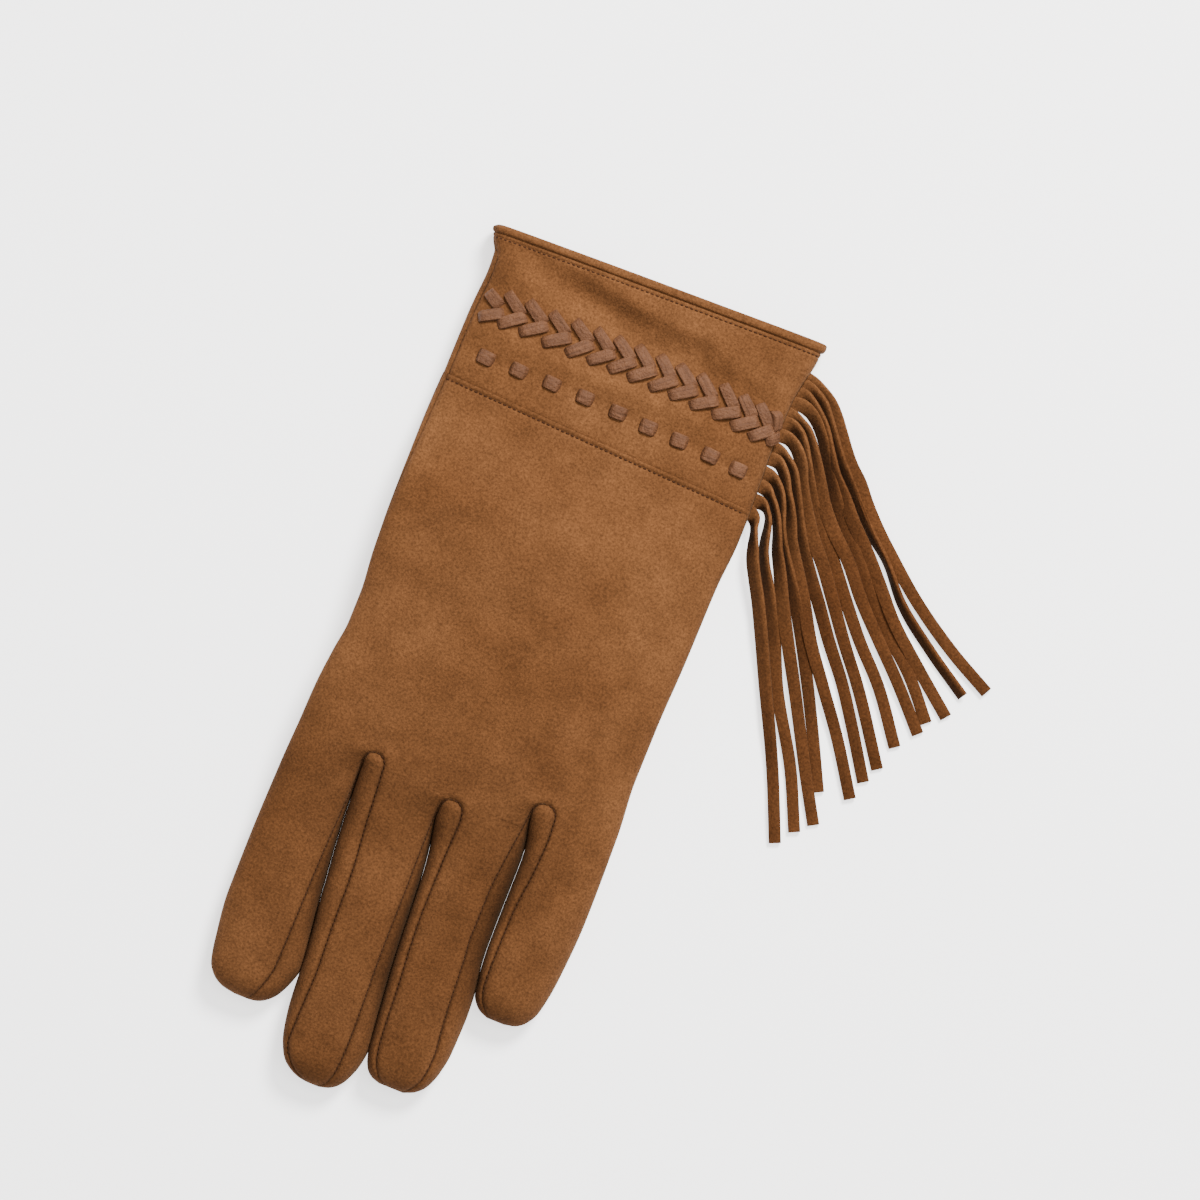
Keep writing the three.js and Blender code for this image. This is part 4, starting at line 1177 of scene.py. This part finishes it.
def scatter_tree():
    """Node tree that sets a template on every point of a mesh, turned and sized by attributes."""
    tree = bpy.data.node_groups.new("set pieces on points", "GeometryNodeTree")
    group_input(tree, "Points", "NodeSocketGeometry")
    group_input(tree, "Template", "NodeSocketObject")
    group_input(tree, "Material", "NodeSocketMaterial")
    tree.interface.new_socket("Geometry", in_out="OUTPUT", socket_type="NodeSocketGeometry")
    new = tree.nodes.new
    start, end = new("NodeGroupInput"), new("NodeGroupOutput")
    template = new("GeometryNodeObjectInfo")
    place = new("GeometryNodeInstanceOnPoints")
    turn, size = new("GeometryNodeInputNamedAttribute"), new("GeometryNodeInputNamedAttribute")
    turn.data_type = size.data_type = "FLOAT_VECTOR"
    turn.inputs["Name"].default_value = "turn"
    size.inputs["Name"].default_value = "size"
    rotation = new("FunctionNodeEulerToRotation")
    real, material = new("GeometryNodeRealizeInstances"), new("GeometryNodeSetMaterial")
    link_nodes(
        tree,
        (start.outputs["Points"], place.inputs["Points"]),
        (start.outputs["Template"], template.inputs["Object"]),
        (template.outputs["Geometry"], place.inputs["Instance"]),
        (turn.outputs["Attribute"], rotation.inputs["Euler"]),
        (rotation.outputs["Rotation"], place.inputs["Rotation"]),
        (size.outputs["Attribute"], place.inputs["Scale"]),
        (place.outputs["Instances"], real.inputs["Geometry"]),
        (real.outputs["Geometry"], material.inputs["Geometry"]),
        (start.outputs["Material"], material.inputs["Material"]),
        (material.outputs["Geometry"], end.inputs["Geometry"]),
    )
    return tree


def stitch_tree():
    """Node tree that runs stitches along a path of edges."""
    tree = bpy.data.node_groups.new("stitches along a path", "GeometryNodeTree")
    group_input(tree, "Path", "NodeSocketGeometry")
    group_input(tree, "Pitch", "NodeSocketFloat", 0.0012)
    group_input(tree, "Stitch Size", "NodeSocketVector")
    group_input(tree, "Material", "NodeSocketMaterial")
    tree.interface.new_socket("Geometry", in_out="OUTPUT", socket_type="NodeSocketGeometry")
    new = tree.nodes.new
    start, end = new("NodeGroupInput"), new("NodeGroupOutput")
    curve, even = new("GeometryNodeMeshToCurve"), new("GeometryNodeResampleCurve")
    even.mode = "LENGTH"
    bead = new("GeometryNodeMeshUVSphere")
    bead.inputs["Segments"].default_value = 8
    bead.inputs["Rings"].default_value = 5
    bead.inputs["Radius"].default_value = 0.5
    tangent = new("GeometryNodeInputTangent")
    align = new("FunctionNodeAlignRotationToVector")
    align.axis = "X"
    place = new("GeometryNodeInstanceOnPoints")
    real, material = new("GeometryNodeRealizeInstances"), new("GeometryNodeSetMaterial")
    link_nodes(
        tree,
        (start.outputs["Path"], curve.inputs["Mesh"]),
        (curve.outputs["Curve"], even.inputs["Curve"]),
        (start.outputs["Pitch"], even.inputs["Length"]),
        (even.outputs["Curve"], place.inputs["Points"]),
        (bead.outputs["Mesh"], place.inputs["Instance"]),
        (tangent.outputs["Tangent"], align.inputs["Vector"]),
        (align.outputs["Rotation"], place.inputs["Rotation"]),
        (start.outputs["Stitch Size"], place.inputs["Scale"]),
        (place.outputs["Instances"], real.inputs["Geometry"]),
        (real.outputs["Geometry"], material.inputs["Geometry"]),
        (start.outputs["Material"], material.inputs["Material"]),
        (material.outputs["Geometry"], end.inputs["Geometry"]),
    )
    return tree


def run_tree(piece, make, name, values):
    """Runs a node tree on a piece with named input values, and keeps the plain mesh."""
    tree = bpy.data.node_groups.get(name) or make()
    nodes = piece.modifiers.new(name, "NODES")
    nodes.node_group = tree
    for item in tree.interface.items_tree:
        if item.in_out == "INPUT" and item.name in values:
            nodes[item.identifier] = values[item.name]
    return plain_mesh(piece)


def point_piece(name, points, turns, sizes, marks):
    """A mesh of loose points in millimetres with the attributes that the tree reads."""
    mesh = bpy.data.meshes.new(name)
    mesh.from_pydata(((np.array(points) + SHIFT) / 1000).tolist(), [], [])
    for label, rows in (("turn", turns), ("size", sizes)):
        field = mesh.attributes.new(label, "FLOAT_VECTOR", "POINT")
        field.data.foreach_set("vector", np.array(rows, np.float32).ravel())
    field = mesh.attributes.new("lace_mark", "FLOAT", "POINT")
    field.data.foreach_set("value", np.array(marks, np.float32))
    piece = bpy.data.objects.new(name, mesh)
    bpy.context.scene.collection.objects.link(piece)
    return piece


def lace_template(name, taper, columns=26):
    """A bar of lace one unit long, wide and high: crowned, arched, with both ends turned down."""
    along = np.sin(np.linspace(-math.pi / 2, math.pi / 2, columns)) * 0.5
    angle = np.linspace(0, 2 * math.pi, 25)[:-1]
    wide = np.sign(np.cos(angle)) * np.abs(np.cos(angle)) ** 0.22 * 0.5
    deep = np.sign(np.sin(angle)) * np.abs(np.sin(angle)) ** 0.4 * 0.5
    points, uvs = [], []
    for x in along:
        end = abs(2 * x)
        width = (1 + taper * x) * (1 - 0.12 * end**4)
        drop = end**5
        for w, d in zip(wide, deep):
            points.append((x, w * width, d - drop - 0.25 * w * w))
            uvs.append((x, w, d))
    count = len(angle)
    faces = []
    for r in range(columns - 1):
        for c in range(count):
            n = (c + 1) % count
            faces.append((r * count + c, (r + 1) * count + c, (r + 1) * count + n, r * count + n))
    faces.append(tuple(range(count)))
    faces.append(tuple(range((columns - 1) * count, columns * count))[::-1])
    mesh = bpy.data.meshes.new(name)
    mesh.from_pydata(points, [], faces)
    field = mesh.attributes.new("lace_uv", "FLOAT_VECTOR", "POINT")
    field.data.foreach_set("vector", np.array(uvs, np.float32).ravel())
    template = bpy.data.objects.new(name, mesh)
    bpy.context.scene.collection.objects.link(template)
    return outward(template)


def surface_slope(x, y, step=2.0):
    """Slopes of the upper surface along x and y."""
    along_x = (surface_height(x + step, y) - surface_height(x - step, y)) / (2 * step)
    along_y = (surface_height(x, y + step) - surface_height(x, y - step)) / (2 * step)
    return along_x, along_y


def laid_turn(x, y, angle):
    """Euler turn of a bar that lies on the surface and points along an angle."""
    slope_x, slope_y = surface_slope(x, y)
    forward = Vector((math.cos(angle), math.sin(angle), 0))
    forward.z = forward.x * slope_x + forward.y * slope_y
    forward.normalize()
    normal = Vector((-slope_x, -slope_y, 1)).normalized()
    side = normal.cross(forward).normalized()
    up = forward.cross(side)
    return list(Matrix((forward, side, up)).transposed().to_euler())


def path_piece(name, lines):
    """Edges along lines of points in millimetres."""
    points, edges = [], []
    for line in lines:
        start = len(points)
        points += [tuple(point) for point in line]
        edges += [(start + i, start + i + 1) for i in range(len(line) - 1)]
    mesh = bpy.data.meshes.new(name)
    mesh.from_pydata(((np.array(points) + SHIFT) / 1000).tolist(), edges, [])
    piece = bpy.data.objects.new(name, mesh)
    bpy.context.scene.collection.objects.link(piece)
    return piece


class GloveSizes(bpy.types.PropertyGroup):
    """Sizes of the glove's sewn and laced details."""

    wall: bpy.props.FloatProperty(
        name="Suede", description="Thickness of the suede", default=0.0011, min=0.0006,
        max=0.002, unit="LENGTH")
    seam_depth: bpy.props.FloatProperty(
        name="Seam Depth", description="How far a seam pulls in, in millimetres", default=0.42,
        min=0, max=1)
    seam_swell: bpy.props.FloatProperty(
        name="Seam Swell", description="How far the suede swells beside a seam, in millimetres",
        default=0.22, min=0, max=1)
    stitch_pitch: bpy.props.FloatProperty(
        name="Stitch Pitch", description="Distance from one stitch to the next", default=0.00145,
        min=0.0006, max=0.004, unit="LENGTH")
    lace_width: bpy.props.FloatProperty(
        name="Lace Width", description="Width of the braided lace", default=0.0034, min=0.001,
        max=0.006, unit="LENGTH")
    strip_width: bpy.props.FloatProperty(
        name="Strip Width", description="Width of a fringe strip", default=0.0033, min=0.001,
        max=0.006, unit="LENGTH")
    strip_thickness: bpy.props.FloatProperty(
        name="Strip Thickness", description="Thickness of a fringe strip", default=0.001,
        min=0.0005, max=0.002, unit="LENGTH")


class GloveColours(bpy.types.PropertyGroup):
    """Colours of the glove's leathers and thread."""

    suede_light: bpy.props.FloatVectorProperty(
        name="Light Suede", description="Colour of the suede where its nap is brushed light",
        subtype="COLOR", default=(0.114, 0.0465, 0.0168), min=0, max=1)
    suede_dark: bpy.props.FloatVectorProperty(
        name="Dark Suede", description="Colour of the suede where its nap is brushed dark",
        subtype="COLOR", default=(0.087, 0.0342, 0.0118), min=0, max=1)
    lace_light: bpy.props.FloatVectorProperty(
        name="Light Lace", description="Lighter colour of the lace", subtype="COLOR",
        default=(0.114, 0.048, 0.0215), min=0, max=1)
    lace_dark: bpy.props.FloatVectorProperty(
        name="Dark Lace", description="Darker colour of the lace", subtype="COLOR",
        default=(0.078, 0.031, 0.0132), min=0, max=1)
    thread: bpy.props.FloatVectorProperty(
        name="Thread", description="Colour of the sewing thread", subtype="COLOR",
        default=(0.040, 0.015, 0.006), min=0, max=1)


class GLOVE_OT_stage(bpy.types.Operator):
    """Lays a pale floor under the glove, with soft studio light and the camera above"""

    bl_idname = "glove.stage"
    bl_label = "Stage"

    def execute(self, context):
        floor = bpy.data.meshes.new("floor")
        signs = ((-1, -1), (1, -1), (1, 1), (-1, 1))
        corners = [(x * FLOOR_SIZE, y * FLOOR_SIZE, FLOOR_Z) for x, y in signs]
        floor.from_pydata(corners, [], [(0, 1, 2, 3)])
        table = bpy.data.objects.new("floor", floor)
        context.scene.collection.objects.link(table)
        paper, _, shader = new_material("pale paper")
        shader.inputs["Base Color"].default_value = (0.93, 0.92, 0.915, 1)
        shader.inputs["Emission Color"].default_value = (1.0, 0.99, 0.985, 1)
        shader.inputs["Emission Strength"].default_value = 1.5
        shader.inputs["Roughness"].default_value = 0.9
        floor.materials.append(paper)

        world = bpy.data.worlds.new("studio")
        world.use_nodes = True
        background = world.node_tree.nodes["Background"]
        background.inputs["Color"].default_value = (1.0, 0.99, 0.98, 1)
        background.inputs["Strength"].default_value = 0.62
        context.scene.world = world
        for name, place, size, power in LAMPS:
            lamp = bpy.data.lights.new(name, "AREA")
            lamp.shape = "DISK"
            lamp.size = size
            lamp.energy = power
            light = bpy.data.objects.new(name, lamp)
            light.location = place
            light.rotation_euler = (-Vector(place)).to_track_quat("-Z", "Y").to_euler()
            context.scene.collection.objects.link(light)

        lens = bpy.data.cameras.new("camera")
        camera = bpy.data.objects.new("camera", lens)
        context.scene.collection.objects.link(camera)
        context.scene.camera = camera
        above = CAMERA_HEIGHT - GLOVE_MIDDLE
        lens.sensor_width = 36
        lens.lens = lens.sensor_width * above * PIXELS_PER_METRE / PHOTO_PIXELS
        right = (PHOTO_PIXELS / 2 - ORIGIN_PIXEL[0]) / PIXELS_PER_METRE
        up = (ORIGIN_PIXEL[1] - PHOTO_PIXELS / 2) / PIXELS_PER_METRE
        turned = Matrix.Rotation(VIEW_TURN, 4, "Z")
        place = turned @ Vector((right, up, CAMERA_HEIGHT)) + Vector(SHIFT / 1000)
        camera.matrix_world = Matrix.Translation(place) @ turned
        lens.clip_end = 10
        return {"FINISHED"}


class GLOVE_OT_hand(bpy.types.Operator):
    """Sews the back and palm panels of the hand with their finger tongues"""

    bl_idname = "glove.hand"
    bl_label = "Hand Panels"

    def execute(self, context):
        wall = context.scene.glove_sizes.wall
        back, palm = Patchwork(), Patchwork()
        for name in FINGERS:
            back_patch(back, name)
            palm_patch(palm, name)
        band_patch(palm)
        piece = give_wall(back.to_object("back_of_hand"), wall)
        finish_piece(piece, suede(), ("back_panel",))
        piece = give_wall(palm.to_object("palm_of_hand", open_thumb_hole), wall)
        finish_piece(piece, suede(), ("palm_panel",))
        return {"FINISHED"}


class GLOVE_OT_gussets(bpy.types.Operator):
    """Sets the forked gussets between the fingers"""

    bl_idname = "glove.gussets"
    bl_label = "Gussets"

    def execute(self, context):
        for number in range(len(SLOTS)):
            left, right = FINGERS[number], FINGERS[number + 1]
            work = Patchwork()
            for underside in (False, True):
                fork_patch(work, left, "right", underside)
                fork_patch(work, right, "left", underside)
            piece = work.to_object(f"gusset_{left}_to_{right}", weld=1e-6)
            piece = give_wall(piece, context.scene.glove_sizes.wall)
            finish_piece(piece, suede(), (f"gusset_{left}_{right}",))
        return {"FINISHED"}


class GLOVE_OT_thumb(bpy.types.Operator):
    """Folds the thumb flat under the palm"""

    bl_idname = "glove.thumb"
    bl_label = "Thumb"

    def execute(self, context):
        work = Patchwork()
        add_tube(work, thumb_points())
        piece = outward(work.to_object("thumb_bag"))
        bm = bmesh.new()
        bm.from_mesh(piece.data)
        hole = [f for f in bm.faces if f.normal.z > 0 and hole_share(f.calc_center_median()) < 1]
        bmesh.ops.delete(bm, geom=hole, context="FACES")
        bm.to_mesh(piece.data)
        bm.free()
        piece = give_wall(piece, context.scene.glove_sizes.wall)
        finish_piece(piece, suede(), ("thumb",))
        return {"FINISHED"}


class GLOVE_OT_cuff(bpy.types.Operator):
    """Sews the two halves of the cuff with their rolled hem"""

    bl_idname = "glove.cuff"
    bl_label = "Cuff"

    def execute(self, context):
        cuff_shell("cuff_top", False, cuff_back_columns, "cuff_back")
        cuff_shell("cuff_underside", True, cuff_palm_columns, "cuff_palm")
        return {"FINISHED"}


class GLOVE_OT_fringe(bpy.types.Operator):
    """Cuts the fringe strips and sets their roots in the side seam"""

    bl_idname = "glove.fringe"
    bl_label = "Fringe"

    def execute(self, context):
        work = Patchwork()
        for number in range(len(STRIPS)):
            add_tube(work, *strip_rings(number))
        piece = outward(work.to_object("fringe_strips"))
        leather = suede("fringe suede", FRINGE_TONE)
        finish_piece(piece, leather, ("fringe",), crisp=True)
        return {"FINISHED"}


class GLOVE_OT_braid(bpy.types.Operator):
    """Weaves the herringbone braid across the cuff"""

    bl_idname = "glove.braid"
    bl_label = "Braid"

    def execute(self, context):
        sizes, colours = context.scene.glove_sizes, context.scene.glove_colours
        leather = lace_material("lace leather", colours.lace_light, colours.lace_dark)
        template = lace_template("lace bar", 0.14)
        points, turns, scales, marks = [], [], [], []
        rng = np.random.default_rng(5)
        for x, y, upper, lower, upper_length, lower_length in BRAID:
            for angle, at_x, at_y, length, above in (
                (upper, x + UPPER_OFFSET[0], y + UPPER_OFFSET[1], upper_length, 0.35),
                (lower, x + LOWER_OFFSET[0], y + LOWER_OFFSET[1], lower_length, 0.75),
            ):
                angle = math.radians(angle + rng.uniform(-1.5, 1.5))
                points.append((at_x, at_y, surface_height(at_x, at_y) + above))
                turns.append(laid_turn(at_x, at_y, angle))
                width = sizes.lace_width * rng.uniform(0.96, 1.05)
                scales.append((length / 1000, width, LACE_THICK / 1000))
                marks.append(rng.uniform(0, 50))
        piece = point_piece("cuff_braid", points, turns, scales, marks)
        run_tree(piece, scatter_tree, "set pieces on points",
                 {"Template": template, "Material": leather})
        bpy.data.objects.remove(template)
        finish_piece(piece, leather, ("braided_lace",))
        return {"FINISHED"}


class GLOVE_OT_running_lace(bpy.types.Operator):
    """Sets the row of running lace below the braid"""

    bl_idname = "glove.running_lace"
    bl_label = "Running Lace"

    def execute(self, context):
        leather = bpy.data.materials["lace leather"]
        template = lace_template("lace stitch", 0.0)
        length, width, thick = (size / 1000 for size in STITCH_SIZE)
        points, turns, scales, marks = [], [], [], []
        rng = np.random.default_rng(11)
        for x, y in STITCH_CENTRES:
            points.append((x, y, surface_height(x, y) + 0.3))
            turns.append(laid_turn(x, y, math.radians(-1.5 + rng.uniform(-3, 3))))
            scales.append((length, width * rng.uniform(0.95, 1.05), thick))
            marks.append(rng.uniform(0, 50))
        piece = point_piece("cuff_running_lace", points, turns, scales, marks)
        run_tree(piece, scatter_tree, "set pieces on points",
                 {"Template": template, "Material": leather})
        bpy.data.objects.remove(template)
        finish_piece(piece, leather, ("running_lace",))
        return {"FINISHED"}


class GLOVE_OT_stitches(bpy.types.Operator):
    """Runs the thread stitches along the seams, the gussets and the hem"""

    bl_idname = "glove.stitches"
    bl_label = "Stitches"

    def execute(self, context):
        sizes, colours = context.scene.glove_sizes, context.scene.glove_colours
        thread = thread_material("seam thread", colours.thread)
        lines = []
        for line, below, start, end, sunk in (
            (wrist_seam, WRIST_STITCH, -44.4, 44.6, 0),
            (cuff_opening, HEM_STITCH, -46.5, 48.0, 0.12),
        ):
            path = [(x, line(x) - below) for x in np.linspace(start, end, 120)]
            lines.append([(x, y, surface_height(x, y) - sunk) for x, y in path])
        for number, slot in enumerate(SLOTS):
            left, right = FINGERS[number], FINGERS[number + 1]
            round_y = slot["top"] - slot["round"]
            down = np.arange(OUTLINES[left]["tip"] + 6, round_y, 0.8)
            first = [(float(back_seam(left, "right", y)) - 0.1, float(y)) for y in down]
            arc = [(slot["x"] + (slot["half"] + 0.1) * math.cos(turn),
                    round_y + slot["round"] * math.sin(turn)) for turn in np.linspace(math.pi, 0, 20)]
            up = np.arange(round_y, OUTLINES[right]["tip"] + 6, -0.8)
            second = [(float(back_seam(right, "left", y)) + 0.1, float(y)) for y in up]
            lines.append([(x, y, surface_height(x, y) - 0.22) for x, y in first + arc + second])
        piece = path_piece("seam_stitches", lines)
        run_tree(piece, stitch_tree, "stitches along a path",
                 {"Pitch": sizes.stitch_pitch, "Stitch Size": THREAD_STITCH,
                  "Material": thread})
        finish_piece(piece, thread)
        return {"FINISHED"}


class GLOVE_PT_panel(bpy.types.Panel):
    """Steps that build the glove"""

    bl_label = "Fringed Suede Glove"
    bl_idname = "GLOVE_PT_panel"
    bl_space_type = "VIEW_3D"
    bl_region_type = "UI"
    bl_category = "Glove"

    def draw(self, context):
        for settings in (context.scene.glove_sizes, context.scene.glove_colours):
            column = self.layout.column()
            for name in settings.__annotations__:
                column.prop(settings, name)
        for step in STEPS:
            self.layout.operator(step.bl_idname)


STEPS = (
    GLOVE_OT_stage,
    GLOVE_OT_hand,
    GLOVE_OT_gussets,
    GLOVE_OT_thumb,
    GLOVE_OT_cuff,
    GLOVE_OT_braid,
    GLOVE_OT_running_lace,
    GLOVE_OT_fringe,
    GLOVE_OT_stitches,
)
CLASSES = (GloveSizes, GloveColours, *STEPS, GLOVE_PT_panel)


def register():
    """Registers the glove's settings, steps and panel."""
    for cls in CLASSES:
        bpy.utils.register_class(cls)
    bpy.types.Scene.glove_sizes = bpy.props.PointerProperty(type=GloveSizes)
    bpy.types.Scene.glove_colours = bpy.props.PointerProperty(type=GloveColours)


def unregister():
    """Takes them out again."""
    del bpy.types.Scene.glove_colours
    del bpy.types.Scene.glove_sizes
    for cls in reversed(CLASSES):
        bpy.utils.unregister_class(cls)


def main():
    """Builds every piece in order."""
    register()
    for step in STEPS:
        group, name = step.bl_idname.split(".")
        if getattr(getattr(bpy.ops, group), name)() != {"FINISHED"}:
            raise RuntimeError(f"{step.bl_label} did not finish")


if __name__ == "__main__":
    main()
